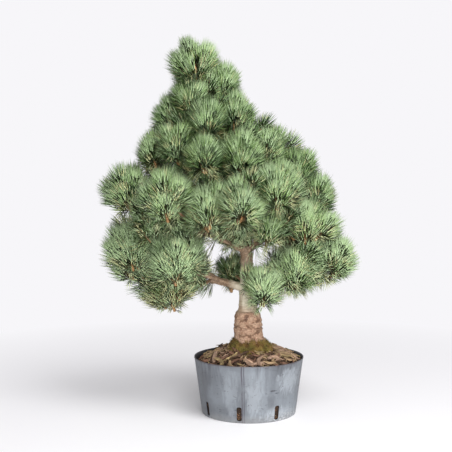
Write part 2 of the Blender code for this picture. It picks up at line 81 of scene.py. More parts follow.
MM = 0.001
UP = Vector((0, 0, 1))
GOLDEN_ANGLE = math.radians(137.508)
PIECE_TRIANGLES = 190_000  # the most one joined piece holds

# ------------------------------------------------------------------ the tree's own numbers

# Trunk: (height, x, y, radius) in mm, from the root flare over the rough rootstock, the graft
# line at 192 mm and the smooth stem to the thin leader inside the crown.
TRUNK = (
    (119.35, 3, 0, 37.0),
    (123.0, 3, 0, 33.5),
    (130.0, 2, 0, 30.2),
    (140.0, 0, 0, 27.6),
    (150.0, -1, 0, 27.0),
    (159.0, -2, 0, 27.8),
    (169.0, -2, 0, 26.0),
    (180.0, -2, 0, 24.8),
    (188.0, -2, 0, 23.2),
    (192.0, -2, 0, 19.4),
    (200.0, -2, 0, 17.6),
    (213.0, -1, 0, 17.3),
    (228.0, 0, 1, 18.2),
    (240.0, -1, 2, 16.6),
    (254.0, -3, 3, 13.6),
    (275.0, -4, 5, 12.2),
    (297.0, -4, 6, 11.6),
    (325.0, -8, 9, 9.6),
    (372.0, -21, 9, 8.6),
    (428.0, -39, 7, 7.6),
    (484.0, -58, 4, 6.6),
    (539.0, -71, 2, 5.2),
    (595.0, -84, 0, 4.0),
    (636.0, -97, 0, 2.8),
)

# Boughs: name: (what carries it, where on that, end x, y, z, radius at foot and tip, arch), in mm.
# Where is a height in mm on the trunk, or a share of the length of another bough.
BOUGHS = {
    "bough_lower_left": ("trunk", 231, -72, -4, 249, 9.0, 6.0, 4),
    "bough_lower_left_front": ("bough_lower_left", 0.42, -112, -38, 268, 4.6, 3.4, 4),
    "bough_lower_left_outer": ("bough_lower_left", 0.6, -188, -2, 292, 4.4, 3.2, 18),
    "bough_lower_right": ("trunk", 236, 62, -26, 262, 7.0, 4.6, -4),
    "bough_lower_right_tip": ("bough_lower_right", 0.8, 140, -10, 276, 4.2, 3.0, -4),
    "bough_left": ("trunk", 300, -108, -40, 362, 7.0, 4.6, 4),
    "bough_left_tip": ("bough_left", 0.76, -202, -2, 410, 4.4, 3.2, 6),
    "bough_left_under": ("bough_left", 0.6, -146, -14, 346, 4.2, 3.2, -4),
    "bough_right": ("trunk", 303, 66, -14, 347, 7.0, 4.8, 8),
    "bough_right_front": ("bough_right", 0.62, 38, -66, 402, 4.2, 3.2, 4),
    "bough_right_middle": ("bough_right", 0.84, 110, 4, 392, 4.2, 3.2, 4),
    "bough_front_middle": ("trunk", 352, -20, -92, 376, 4.8, 3.4, 4),
    "bough_left_high": ("trunk", 424, -158, 4, 464, 4.8, 3.4, 5),
    "bough_right_high": ("trunk", 392, 80, 4, 434, 5.2, 3.6, 5),
    "bough_right_shoulder": ("trunk", 446, 14, -6, 476, 4.6, 3.4, 4),
    "bough_back_high": ("trunk", 456, -60, 74, 474, 4.4, 3.2, 4),
    "bough_back_centre": ("trunk", 380, -12, 96, 402, 4.8, 3.4, 4),
    "bough_back_left": ("trunk", 372, -124, 70, 402, 5.2, 3.6, 5),
    "bough_back_right": ("trunk", 364, 52, 74, 404, 5.2, 3.6, 5),
    "bough_back_lower_left": ("trunk", 322, -112, 70, 336, 4.8, 3.4, -3),
}

# Masses of foliage: name: (centre x, y, z, half size x, y, z, shoots), in mm.
MASSES = {
    "apex": (-106, 0, 652, 48, 42, 47, 5),
    "apex_right": (-44, 0, 626, 34, 34, 38, 4),
    "upper_middle": (-112, -26, 596, 38, 38, 36, 4),
    "upper_left": (-150, 6, 560, 36, 42, 42, 4),
    "upper_front": (-78, -64, 553, 38, 36, 40, 4),
    "upper_right": (-20, -12, 562, 36, 40, 46, 5),
    "upper_back": (-80, 66, 572, 46, 40, 46, 4),
    "left_high": (-179, 4, 500, 38, 42, 40, 4),
    "left_upper": (-138, -54, 512, 38, 38, 42, 4),
    "front_high": (-86, -98, 490, 36, 36, 40, 4),
    "centre_high": (-14, -66, 486, 40, 38, 46, 5),
    "left_tip": (-230, 0, 427, 50, 44, 45, 5),
    "left_front": (-154, -82, 418, 50, 44, 52, 5),
    "centre_left": (-76, -76, 396, 44, 42, 50, 5),
    "front_middle": (-14, -118, 406, 38, 36, 46, 4),
    "right_shoulder": (35, -8, 504, 44, 44, 48, 5),
    "right_high": (95, 0, 466, 37, 44, 44, 5),
    "right_front": (52, -92, 434, 44, 40, 44, 5),
    "right_middle": (128, 0, 418, 38, 42, 42, 4),
    "centre_right": (36, -62, 366, 40, 38, 38, 4),
    "right_low": (110, -30, 366, 58, 46, 40, 5),
    "lower_right": (92, -36, 280, 50, 42, 47, 5),
    "lower_right_tip": (164, -10, 300, 46, 42, 38, 4),
    "front_low": (26, -62, 252, 38, 34, 46, 4),
    "back_low": (-34, 70, 270, 27, 36, 40, 3),
    "left_under": (-178, -20, 366, 44, 42, 36, 4),
    "lower_left_outer": (-223, -6, 314, 54, 48, 56, 7),
    "lower_left": (-140, -56, 300, 54, 44, 44, 5),
    "lower_left_under": (-150, 2, 246, 66, 46, 42, 5),
    "back_high": (-64, 102, 500, 46, 40, 46, 4),
    "back_centre": (-10, 126, 428, 46, 40, 46, 4),
    "back_left": (-158, 92, 430, 54, 44, 48, 5),
    "back_right": (76, 96, 434, 52, 44, 48, 4),
    "back_lower_left": (-140, 92, 340, 50, 42, 42, 4),
    "back_lower_right": (116, 82, 334, 48, 42, 42, 4),
}

# What carries each mass: the trunk at a height in mm, or the bough that ends at the mass, which
# has the mass's own name unless another is named here.
CARRIED_BY = {
    "apex": 636, "apex_right": 600, "upper_middle": 574, "upper_left": 530, "upper_front": 524,
    "upper_right": 516, "upper_back": 540, "left_upper": 472, "front_high": 458,
    "centre_high": 440, "centre_left": 334, "centre_right": 330, "front_low": 232,
    "back_low": 248, "back_lower_right": 336, "left_front": "bough_left",
    "right_low": "bough_right", "lower_left": "bough_lower_left_front",
    "lower_left_under": "bough_lower_left",
}

SEED = 11
noise.seed_set(SEED)  # or else the clock moves what noise_vector gives
MASS_FILL = 1.12  # what a mass's half sizes are drawn out by
BARE_TOP = 260 * MM  # how high the trunk's mesh is fine
ROOTSTOCK_REACH = 50 * MM  # from the axis
USUAL_HALF = 46 * MM  # the mean half size of a mass of usual bulk
TIP_DEPTH = 27 * MM  # how far under a mass's skin a shoot's tip stands, for its needles
TIP_LEAST = 0.34  # and the least way from the mass's middle, of the way to its skin
TIP_CLEARANCE = 5 * MM
CROWN_COSINE = -0.7  # how far round a mass its shoots stand, from straight along its axis
CROWN_SOFTNESS = 2.1  # how little neighbouring masses draw each other's needles into a gap
CROWN_SKIN = 1.12  # how far needles reach, of a mass's half size, where it has no neighbour
HEART_DROP = 15 * MM  # how far under a mass's middle its shoots gather
GAP_SPACING = 29 * MM  # from the tip of a shoot that fills the crown to any other, at least
GAP_DEPTH = 0.36  # how deep in the crown its tip must be, as Crown.fullness counts it
GAP_TRIALS = 14_000
# Tips of other shoots that fill the crown, in mm.
FILL_TIPS = (
    (-92, -40, 428), (-88, 56, 440), (-120, 36, 470), (-116, -44, 462), (-84, -10, 436),
    (-82, -68, 430), (-6, -46, 260),
)
CORE_HEIGHTS = (362, 400, 440, 480, 520, 560)  # up the trunk, in mm, where the crown is closed
CORE_RADIUS = 48 * MM
LIMB_SHOOT_GAP = 10 * MM  # between the sparse shoots that hang about the low boughs
LIMB_SHOOT_DEPTH = 0.05  # how deep in the crown these must be
LIMB_SHOOT_TOP = 372 * MM
STEM_RADIUS = 3.0 * MM
SPRAY_MARGIN = 8 * MM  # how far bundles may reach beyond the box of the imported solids
NEEDLE_BEND = 0.62  # how far along a needle it bends and is widest
# Painted shade for the masses behind the trunk.
IN_SHADE, SHADE = ("back_low",), 0.36  # masses in the dark behind the trunk, and how dark
OLD_MASSES, OLD_SHARE = ("lower_left_under",), 0.55  # and those of mostly old, olive needles

# Painted light and shade, added to a bundle's light: (where along a scale, how much there).
LIGHT_UP = ((0.25, 0.38, 0.47, 0.6, 0.66), (0.36, 0.32, -0.05, 0.0, 0.28))  # z in metres
LIGHT_ACROSS = ((-0.25, -0.08, 0.0, 0.1), (0.18, 0.0, 0.0, -0.1))  # x in metres
LIGHT_IN_MASS = ((-0.9, 0.7), (-0.26, 0.08))  # from its own mass's foot to its top
PAINTED_SHADE_INSIDE = ((0.03, 0.36), (0.0, 0.78))  # how deep it is in other masses: taken away

# Finer wood: radii in mm from foot to tip, and the sides of its mesh.
STEM_WOOD = ((3.1, 2.3), 8)
TWIG_WOOD = ((2.3, 2.4), 6)
SHOOT_WOOD = ((2.9, 2.6, 1.9), 8)
LEADER_WOOD = ((3.1, 2.0), 10)
SPRIG_WOOD = ((2.2, 1.6), 6)
SPRIG_TIP_WOOD = ((1.7, 1.4), 6)

# Shoots off the masses: bundles as a share of a main shoot's, lower angle in degrees, age.
FILLING = (0.55, 78, 0.3)
HANGING = (0.4, 100, 1.0)
OLD_AGE = 0.9

TRUNK_TIP = Vector((*TRUNK[-1][1:3], TRUNK[-1][0])) * MM
POT_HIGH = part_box("pot")[1]
SOIL_LOW, SOIL_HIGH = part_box("soil")
GRAFT_HEIGHT = 190 * MM
KNOT = Vector((-6, -23, 180)) * MM
KNOT_RADIUS = 5 * MM
CREASE_HEIGHT = 161 * MM
LEADER_TIP = Vector((-110, -4, 674)) * MM  # the long shoot that the trunk's top grows on into
LEADER_WIDTH = 2.6 * MM  # how wide needles part in front of it

MOUND_TOP = 118 * MM  # the mulch's height at the trunk
MOUND_AT_WALL = (91 * MM, 98 * MM)  # at the wall: on the left, on the right
MOUND_LEVEL = 42 * MM  # how far from the axis it is level
MOUND_EDGE = 98 * MM
CHIP_REACH = 96.0  # how far from the axis a chip's middle may lie, in mm
CHIP_RISE = 9 * MM  # how far a chip may stand over the mound
CHIP_SHAPES = 9
SLOT_CHIPS = 9  # chips that show in each drain slot
MOSS_INNER, MOSS_OUTER = 25.0, 50.0  # where moss grows, from the axis, in mm
MOSS_CREST = 137 * MM  # how high it climbs the trunk's foot
MOSS_ROOT = 26 * MM


def clamp(value):
    return max(0.0, min(1.0, value))


def polar(radius, angle, height):
    """A point by its distance and angle from the pot's axis."""
    return Vector((radius * math.cos(angle), radius * math.sin(angle), height))


def display(red, green, blue):
    """A display colour, 0 to 255, as the linear colour that a shader takes."""
    shares = (red / 255, green / 255, blue / 255)
    return tuple(((c + 0.055) / 1.055) ** 2.4 if c > 0.04 else c / 12.92 for c in shares)


BLACK, WHITE = (0, 0, 0), (1, 1, 1)


# ------------------------------------------------------------------ settings


def length_setting(name, description, default):
    return FloatProperty(
        name=name, description=description, default=default, min=0, unit="LENGTH", precision=4
    )


def angle_setting(name, description, degrees):
    return FloatProperty(
        name=name, description=description, default=math.radians(degrees), subtype="ANGLE"
    )


def share_setting(name, description, default):
    return FloatProperty(
        name=name, description=description, default=default, min=0, max=1, subtype="FACTOR"
    )


def count_setting(name, description, default):
    return IntProperty(name=name, description=description, default=default, min=0)


def colour_setting(name, description, red, green, blue):
    return FloatVectorProperty(
        name=name,
        description=description,
        default=display(red, green, blue),
        size=3,
        min=0,
        max=1,
        subtype="COLOR",
    )


class PotSettings(PropertyGroup):
    rim_radius: length_setting("Rim radius", "Outside radius of the rim", POT_HIGH.x)
    foot_radius: length_setting("Foot radius", "Outside radius of the foot", 88.5 * MM)
    height: length_setting("Height", "From the foot to the rim", POT_HIGH.z)
    wall: length_setting("Wall", "Thickness of the plastic", 2.2 * MM)
    slots: count_setting("Slots", "Drain slots round the foot", 8)
    slot_first: angle_setting("First slot", "Where the first slot stands", -90 - 12.4)
    slot_width: length_setting("Slot width", "Across one drain slot", 9.5 * MM)
    slot_height: length_setting("Slot height", "Height of one drain slot", 26 * MM)
    slot_sill: length_setting("Slot sill", "From the foot to a slot", 4 * MM)
    plastic: colour_setting("Plastic", "The pot's grey-blue plastic", 80, 83, 88)
    limescale: colour_setting("Limescale", "Pale cloudy deposits on the wall", 125, 131, 137)
    grime: colour_setting("Grime", "Dark streaks, scratches and the inside", 52, 50, 56)


class MulchSettings(PropertyGroup):
    crumbs: count_setting("Small chips", "Small bark chips all over the mound", 560)
    chips: count_setting("Chips", "Long curled chips on top", 120)
    chip_length: length_setting("Chip length", "Length of a long chip", 33 * MM)
    chip_width: length_setting("Chip width", "Width of a long chip", 7.4 * MM)
    chip_thickness: length_setting("Chip thickness", "Thickness of a long chip", 4.6 * MM)
    soil: colour_setting("Soil", "Damp potting mix under the chips", 50, 34, 20)
    tan: colour_setting("Tan bark", "Dry inner bark", 164, 136, 102)
    ochre: colour_setting("Ochre bark", "Yellowish chips", 152, 130, 90)
    russet: colour_setting("Russet bark", "Reddish brown chips", 118, 84, 64)
    rose: colour_setting("Rose bark", "Pinkish grey chips", 162, 132, 110)
    umber: colour_setting("Umber bark", "Dark weathered chips", 78, 54, 34)


class MossSettings(PropertyGroup):
    blades: count_setting("Blades", "Leaves of moss on the cushion", 14000)
    blade_length: length_setting("Blade length", "Length of one leaf of moss", 7.5 * MM)
    green: colour_setting("Green moss", "Fresh moss", 98, 90, 34)
    dry: colour_setting("Dry moss", "Older brownish moss", 134, 96, 50)
    shade: colour_setting("Moss shade", "The felt under the leaves", 56, 43, 20)


class BarkSettings(PropertyGroup):
    voxel: length_setting("Voxel", "Mesh size of the wood", 1.0 * MM)
    plate_relief: length_setting("Plate relief", "Depth of the rootstock's plates", 2.4 * MM)
    stem_relief: length_setting("Stem relief", "Unevenness of the smooth wood", 0.6 * MM)
    plate: colour_setting("Bark plate", "The rootstock's orange-pink plates", 150, 119, 95)
    plate_pale: colour_setting("Pale plate", "Worn plates of the rootstock", 184, 154, 130)
    crack: colour_setting("Crack", "Deep folds in the rootstock", 80, 54, 40)
    stem: colour_setting("Smooth stem", "The pale stem above the graft", 214, 205, 184)
    stem_shade: colour_setting("Stem streaks", "Greenish streaks on the stem", 166, 168, 140)
    bough: colour_setting("Bough", "Older wood in the crown", 146, 122, 98)
    twig: colour_setting("Twig", "Young orange-brown twigs", 206, 162, 112)
    bud: colour_setting("Bud", "Winter buds", 196, 146, 100)


class NeedleSettings(PropertyGroup):
    length: length_setting("Needle length", "Length of a grown needle", 46 * MM)
    width: length_setting("Needle width", "Across one needle", 1.15 * MM)
    bundle: count_setting("Needles a bundle", "Needles that grow from one sheath", 5)
    bundles: count_setting("Bundles a shoot", "Bundles on a leading shoot", 76)
    old_bundles: count_setting("Bundles a twig", "Old bundles on each inner twig", 6)
    finer_shoots: count_setting("Finer shoots", "Shoots that a mass has over its main ones", 1)
    brush: length_setting("Brush", "How much of a shoot bears needles", 30 * MM)
    bundle_spread: angle_setting("Bundle spread", "Between a bundle's needles and its line", 7.5)
    tip_angle: angle_setting("Upper angle", "Off the shoot, at its tip", 7)
    base_angle: angle_setting("Lower angle", "Off the shoot, at its foot", 56)
    # Deep green is painted shade, dealt mostly to inner and low bundles.
    deep: colour_setting("Deep green", "Shaded needles", 66, 102, 40)
    green: colour_setting("Green", "Most needles", 106, 138, 70)
    glaucous: colour_setting("Blue green", "Needles with a waxy bloom", 130, 158, 104)
    fresh: colour_setting("Fresh green", "This year's needles", 120, 152, 74)
    olive: colour_setting("Olive", "Old needles", 184, 178, 120)
    # The bloom is the pale wax, and also painted highlight on the lightest needles.
    bloom_and_highlight: colour_setting("Bloom", "The wax that pales a needle", 188, 206, 168)
    sheath: colour_setting("Sheath", "The papery foot of a bundle", 190, 162, 108)


class StageSettings(PropertyGroup):
    floor: colour_setting("Floor", "The plain floor", 242, 241, 243)
    backdrop: colour_setting("Backdrop", "What shows behind the plant", 247, 246, 249)
    focal_length: FloatProperty(
        name="Focal length", description="On a 36 mm sensor", default=72.4, unit="CAMERA"
    )
    distance: length_setting("Camera distance", "In front of the trunk", 1.70)
    height: length_setting("Camera height", "Above the floor", 0.449)
    pitch: angle_setting("Camera pitch", "How far it looks down", 3.3)
    key: FloatProperty(
        name="Key light", description="Power of the soft light above", default=36, unit="POWER"
    )
    fill: FloatProperty(
        name="Fill light", description="Power of the light in front", default=72, unit="POWER"
    )
    ambient: share_setting("Ambient", "Light from all round", 0.50)


# ------------------------------------------------------------------ objects and meshes


def deselect_all():
    bpy.ops.object.select_all(action="DESELECT")


def activate(obj):
    """Makes obj the one selected object."""
    deselect_all()
    obj.select_set(True)
    bpy.context.view_layer.objects.active = obj


def apply_modifier(obj, kind, **settings):
    """Adds one modifier with its settings and applies it."""
    activate(obj)
    modifier = obj.modifiers.new(kind.lower(), kind)
    for key, value in settings.items():
        setattr(modifier, key, value)
    bpy.ops.object.modifier_apply(modifier=modifier.name)


def select_edges(obj, wanted):
    """In edit mode, selects exactly the edges that wanted(middle, direction) picks."""
    bpy.ops.mesh.select_mode(type="EDGE")
    bpy.ops.mesh.select_all(action="DESELECT")
    bm = bmesh.from_edit_mesh(obj.data)
    for edge in bm.edges:
        a, b = (vert.co for vert in edge.verts)
        edge.select_set(bool(wanted((a + b) / 2, (b - a).normalized())))
    bm.select_flush_mode()
    bmesh.update_edit_mesh(obj.data)


def object_from_arrays(name, points, faces, attributes=None, material_index=None):
    """A mesh object from an array of points and arrays of faces, each with one corner count."""
    mesh = bpy.data.meshes.new(name)
    points = np.ascontiguousarray(points, np.float32)
    corners = np.concatenate([part.ravel() for part in faces]).astype(np.int32)
    sizes = np.concatenate([np.full(len(part), part.shape[1]) for part in faces])
    starts = np.concatenate([[0], np.cumsum(sizes)[:-1]]).astype(np.int32)
    mesh.vertices.add(len(points))
    mesh.vertices.foreach_set("co", points.ravel())
    mesh.loops.add(len(corners))
    mesh.loops.foreach_set("vertex_index", corners)
    mesh.polygons.add(len(sizes))
    mesh.polygons.foreach_set("loop_start", starts)
    if material_index is not None:
        mesh.polygons.foreach_set("material_index", material_index.astype(np.int32))
    for label, values in (attributes or {}).items():
        kind = "FLOAT_VECTOR" if values.ndim == 2 else "FLOAT"
        field = "vector" if values.ndim == 2 else "value"
        layer = mesh.attributes.new(label, kind, "POINT")
        layer.data.foreach_set(field, values.astype(np.float32).ravel())
    mesh.update(calc_edges=True)
    made = bpy.data.objects.new(name, mesh)
    bpy.context.scene.collection.objects.link(made)
    return made


def finish_piece(obj, slot, *materials, nodes=()):
    """Gives a finished piece its materials and its body, and hides the nodes that it stands for.
    Its slot is not used.
    """
    obj.data.materials.clear()
    for material in materials:
        obj.data.materials.append(material)
    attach(obj, BODY)
    if nodes:
        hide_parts(*nodes)


def ring_quads(rings, sides, closed=False):
    """Quads from each ring of points to the next, and from the last to the first if closed."""
    here = np.arange(rings if closed else rings - 1)[:, None] * sides
    there = (here + sides) % (rings * sides)
    k = np.arange(sides)
    after = (k + 1) % sides
    return np.stack([here + k, here + after, there + after, there + k], 2).reshape(-1, 4)


def faces_outwards(weld=None):
    """Ends edit mode with all faces turned outwards, and first welds points that coincide."""
    bpy.ops.mesh.select_all(action="SELECT")
    if weld:
        bpy.ops.mesh.remove_doubles(threshold=weld)
    bpy.ops.mesh.normals_make_consistent(inside=False)
    bpy.ops.object.mode_set(mode="OBJECT")


def tube(points, wood):
    """A tube through points, as wide along its way as a kind of finer wood says."""
    widths, sides = wood
    places = np.linspace(0, 1, len(widths))
    return points, np.interp(np.linspace(0, 1, len(points)), places, widths) * MM, sides


def tube_arrays(points, radii, sides):
    """Points, quads and end triangles of a closed round tube through points (n, 3)."""
    points, radii = np.asarray(points, float), np.asarray(radii, float)
    along = np.gradient(points, axis=0)
    along /= np.linalg.norm(along, axis=1, keepdims=True)
    turn = np.linspace(0, 2 * math.pi, sides, endpoint=False)
    side = np.cross(along[0], (0.3, 1.0, 0.2))
    rings = []
    for point, way, radius in zip(points, along, radii):
        side = side - way * side.dot(way)
        side /= np.linalg.norm(side)
        off = np.outer(np.cos(turn), side) + np.outer(np.sin(turn), np.cross(way, side))
        rings.append(point + radius * off)
    ends = [points[0] - along[0] * radii[0] * 0.4, points[-1] + along[-1] * radii[-1] * 0.6]
    verts = np.concatenate(rings + [np.array(ends)])
    k = np.arange(sides)
    after = (k + 1) % sides
    last = (len(points) - 1) * sides
    foot, tip = len(verts) - 2, len(verts) - 1
    low = np.stack([after, k, np.full(sides, foot)], 1)
    high = np.stack([last + k, last + after, np.full(sides, tip)], 1)
    return verts, ring_quads(len(points), sides), np.concatenate([low, high])


def joined_tubes(name, tubes):
    """One object from many tubes, each (points, radii, sides)."""
    verts, quads, ends, count = [], [], [], 0
    for points, radii, sides in tubes:
        v, q, e = tube_arrays(points, radii, sides)
        verts.append(v)
        quads.append(q + count)
        ends.append(e + count)
        count += len(v)
    return object_from_arrays(
        name, np.concatenate(verts), [np.concatenate(quads), np.concatenate(ends)]
    )


# ------------------------------------------------------------------ shader nodes


class Shading:
    """A node tree, with short ways to add nodes and join them."""

    def __init__(self, tree, material=None):
        self.tree = tree
        self.material = material

    def feed(self, socket, value):
        if isinstance(value, bpy.types.NodeSocket):
            self.tree.links.new(value, socket)
        elif socket.type == "RGBA":
            socket.default_value = (*value, 1)
        else:
            socket.default_value = value

    def node(self, kind, inputs=None, **settings):
        made = self.tree.nodes.new("ShaderNode" + kind)
        for key, value in settings.items():
            setattr(made, key, value)
        for key, value in (inputs or {}).items():
            self.feed(made.inputs[key], value)
        return made

    def mix(self, factor, first, second, blend="MIX"):
        made = self.node("Mix", data_type="RGBA", blend_type=blend)
        for index, value in ((0, factor), (6, first), (7, second)):
            self.feed(made.inputs[index], value)
        return made.outputs[2]

    def math(self, operation, *values):
        made = self.node("Math", operation=operation)
        for socket, value in zip(made.inputs, values):
            self.feed(socket, value)
        return made.outputs[0]

    def plus(self, first, second):
        return self.math("ADD", first, second)

    def minus(self, first, second):
        return self.math("SUBTRACT", first, second)

    def times(self, first, second):
        return self.math("MULTIPLY", first, second)

    def length(self, x, y):
        squares = self.plus(self.math("POWER", x, 2.0), self.math("POWER", y, 2.0))
        return self.math("SQRT", squares)

    def between(self, value, low, high, start=0.0, end=1.0):
        """Maps value from low..high to start..end, and holds it there."""
        return self.node(
            "MapRange",
            {"Value": value, "From Min": low, "From Max": high, "To Min": start, "To Max": end},
        ).outputs[0]

    def stain(self, body, tint, value, low, high, start=0.0, end=1.0):
        """Lays a tint over body, as strong as between() makes value."""
        return self.mix(self.between(value, low, high, start, end), body, tint)

    def stretch(self, place, scale=(1, 1, 1), offset=(0, 0, 0)):
        inputs = {"Vector": place, "Scale": scale, "Location": offset}
        return self.node("Mapping", inputs).outputs[0]

    def place(self, scale=(1, 1, 1), offset=(0, 0, 0)):
        """Object coordinates, stretched and moved."""
        return self.stretch(self.node("TexCoord").outputs["Object"], scale, offset)

    def coordinates(self):
        """The object coordinates x, y and z."""
        return self.node("SeparateXYZ", {"Vector": self.node("TexCoord").outputs["Object"]}).outputs

    def attribute(self, name, output="Fac"):
        return self.node("Attribute", attribute_name=name).outputs[output]

    def noise(self, place, scale, detail=3.0, **more):
        inputs = {"Vector": place, "Scale": scale, "Detail": detail, **more}
        return self.node("TexNoise", inputs).outputs[0]

    def use(self, group, **inputs):
        """Places a node group and feeds its inputs."""
        made = self.node("Group", node_tree=group)
        for key, value in inputs.items():
            self.feed(made.inputs[key], value)
        return made.outputs

    def mottle(self, place, scale, contrast, first=BLACK, second=WHITE):
        """Soft patches between two colours: outputs Colour and Mask."""
        return self.use(mottle_group(), Place=place, Scale=scale, Contrast=contrast,
                        First=first, Second=second)

    def plates(self, place, scale, width):
        """Plates with cracks between them: outputs Mask, 0 in the cracks, and Tone."""
        return self.use(plates_group(), Place=place, Scale=scale, Width=width)

    def surface(self, colour, roughness, height=None, strength=0.0, distance=0.0):
        """Feeds the material's shader, and gives the finished material."""
        inputs = self.tree.nodes["Principled BSDF"].inputs
        self.feed(inputs["Base Color"], colour)
        self.feed(inputs["Roughness"], roughness)
        if height is not None:
            relief = {"Height": height, "Strength": strength, "Distance": distance}
            self.feed(inputs["Normal"], self.node("Bump", relief).outputs[0])
        return self.material


def node_group(name, inputs, outputs):
    """A new shader node group: the group, the Shading for it, its inputs and its outputs."""
    group = bpy.data.node_groups.new(name, "ShaderNodeTree")
    for label, kind, value in inputs:
        socket = group.interface.new_socket(label, in_out="INPUT", socket_type="NodeSocket" + kind)
        if value is not None:
            socket.default_value = (*value, 1) if kind == "Color" else value
    for label, kind in outputs:
        group.interface.new_socket(label, in_out="OUTPUT", socket_type="NodeSocket" + kind)
    given = group.nodes.new("NodeGroupInput").outputs
    result = group.nodes.new("NodeGroupOutput").inputs
    return group, Shading(group), given, result


def mottle_group():
    """Soft uneven patches, as a colour between two and as a height."""
    if "mottle" in bpy.data.node_groups:
        return bpy.data.node_groups["mottle"]
    group, s, given, result = node_group(
        "mottle",
        (
            ("Place", "Vector", None),
            ("Scale", "Float", 60.0),
            ("Contrast", "Float", 0.2),
            ("First", "Color", (0.5, 0.5, 0.5)),
            ("Second", "Color", (0.3, 0.3, 0.3)),
        ),
        (("Colour", "Color"), ("Mask", "Float")),
    )
    patches = s.noise(given["Place"], given["Scale"], 4.0)
    low, high = s.minus(0.5, given["Contrast"]), s.plus(0.5, given["Contrast"])
    mask = s.between(patches, low, high)
    s.feed(result["Colour"], s.mix(mask, given["First"], given["Second"]))
    s.feed(result["Mask"], mask)
    return group


def plates_group():
    """Plates with cracks between them, as in old bark: a mask that is 0 in the cracks."""
    if "plates" in bpy.data.node_groups:
        return bpy.data.node_groups["plates"]
    group, s, given, result = node_group(
        "plates",
        (("Place", "Vector", None), ("Scale", "Float", 90.0), ("Width", "Float", 0.12)),
        (("Mask", "Float"), ("Tone", "Float")),
    )
    warp = s.node("TexNoise", {"Vector": given["Place"], "Scale": given["Scale"], "Detail": 3.0})
    shift = {0: warp.outputs["Color"], 1: (0.008, 0.008, 0.008), 2: given["Place"]}
    moved = s.node("VectorMath", shift, operation="MULTIPLY_ADD").outputs[0]
    cells = {"Vector": moved, "Scale": given["Scale"]}
    edge = s.node("TexVoronoi", cells, feature="DISTANCE_TO_EDGE")
    s.feed(result["Mask"], s.between(edge.outputs["Distance"], 0.0, given["Width"]))
    tone = s.node("SeparateColor", {"Color": s.node("TexVoronoi", cells).outputs["Color"]})
    s.feed(result["Tone"], tone.outputs[0])
    return group


def needle_group():
    """A needle's colour from its foot to its tip, with painted light and shade from its tone and
    painted shade towards its foot, and a little different on each needle.
    """
    if "needle_tint" in bpy.data.node_groups:
        return bpy.data.node_groups["needle_tint"]
    group, s, given, result = node_group(
        "needle_tint",
        (
            ("Place", "Vector", None),
            ("Along", "Float", 0.5),
            ("Tone", "Float", 0.5),
            ("Skin", "Color", (0.2, 0.3, 0.15)),
            ("Sheath", "Color", (0.4, 0.3, 0.15)),
            ("Bloom", "Color", (0.5, 0.6, 0.5)),
        ),
        (("Colour", "Color"), ("Roughness", "Float")),
    )
    along, tone = given["Along"], given["Tone"]
    drift = s.between(s.noise(given["Place"], 28.0, 2.0), 0.3, 0.7, 0.86, 1.12)
    # Painted light and shade: the tone lightens or darkens the skin, and the foot is painted darker
    # than the tip.
    light = s.times(drift, s.between(tone, 0.0, 1.0, 0.38, 1.28))
    light = s.times(light, s.between(along, 0.1, 0.9, 0.8, 1.15))
    grey = s.node("CombineXYZ", {"X": light, "Y": light, "Z": light}).outputs[0]
    skin = s.mix(1.0, given["Skin"], grey, "MULTIPLY")
    # Pale bloom on the lightest needles: wax, and painted highlight.
    skin = s.stain(skin, given["Bloom"], tone, 0.45, 1.0, 0.0, 0.58)
    # Painted shade: deep dark green on the needles with the lowest tone.
    skin = s.stain(skin, NEEDLE_SHADE, tone, 0.0, 0.55, 0.85, 0.0)
    skin = s.stain(skin, NEEDLE_YELLOW, along, 0.86, 1.0, 0.0, 0.22)
    # Painted shade: the sheath is darker where the tone is low.
    sheath = s.stain(given["Sheath"], SHEATH_SHADE, tone, 0.1, 0.7, 0.55, 0.0)
    s.feed(result["Colour"], s.stain(sheath, skin, along, 0.02, 0.30))
    s.feed(result["Roughness"], s.between(tone, 0.0, 1.0, 0.42, 0.62))
    return group


def new_material(name):
    """The Shading of a new material with a Principled shader."""
    material = bpy.data.materials.new(name)
    material.use_nodes = True
    material.node_tree.nodes["Principled BSDF"].inputs["Metallic"].default_value = 0.0
    return Shading(material.node_tree, material)


NEEDLE_SHADE, NEEDLE_YELLOW = display(30, 60, 8), display(190, 190, 140)
SHEATH_SHADE = display(70, 88, 30)
POT_RUN, POT_CLOUD, POT_INSIDE_SHADE = display(112, 118, 126), display(145, 151, 157), display(34, 33, 36)
POT_SEAM, POT_RIM_SHADOW = display(62, 56, 66), display(66, 56, 58)
POT_SPLASH, POT_CRUST = display(150, 148, 144), display(176, 178, 180)
# Clouds on the pot's wall: (angle from the front in radians, height in mm), half sizes in the
# same, and how strong: above nought pale, below nought dark.
POT_CLOUDS = (
    ((0.86, 74), (0.30, 26), 0.75),
    ((0.08, 46), (0.17, 34), 0.5),
    ((-0.38, 50), (0.16, 44), 0.32),
    ((0.62, 16), (0.42, 12), 0.8),
    ((0.42, 40), (0.10, 16), -0.3),
    ((0.46, 59), (0.09, 1.6), -0.85),
    ((0.53, 54), (0.06, 1.3), -0.75),
    ((-1.15, 70), (0.35, 60), -0.22),
    ((0.30, 92), (0.05, 34), -0.28),
    ((2.2, 60), (0.5, 30), 0.5),
    ((-2.3, 40), (0.6, 24), 0.45),
    ((3.0, 76), (0.3, 40), -0.2),
)
# The wall's upright seam: angle, half width in radians, and how dark.
POT_SEAMS = ((-0.152, 0.020, 0.85), (-0.112, 0.015, 0.75))


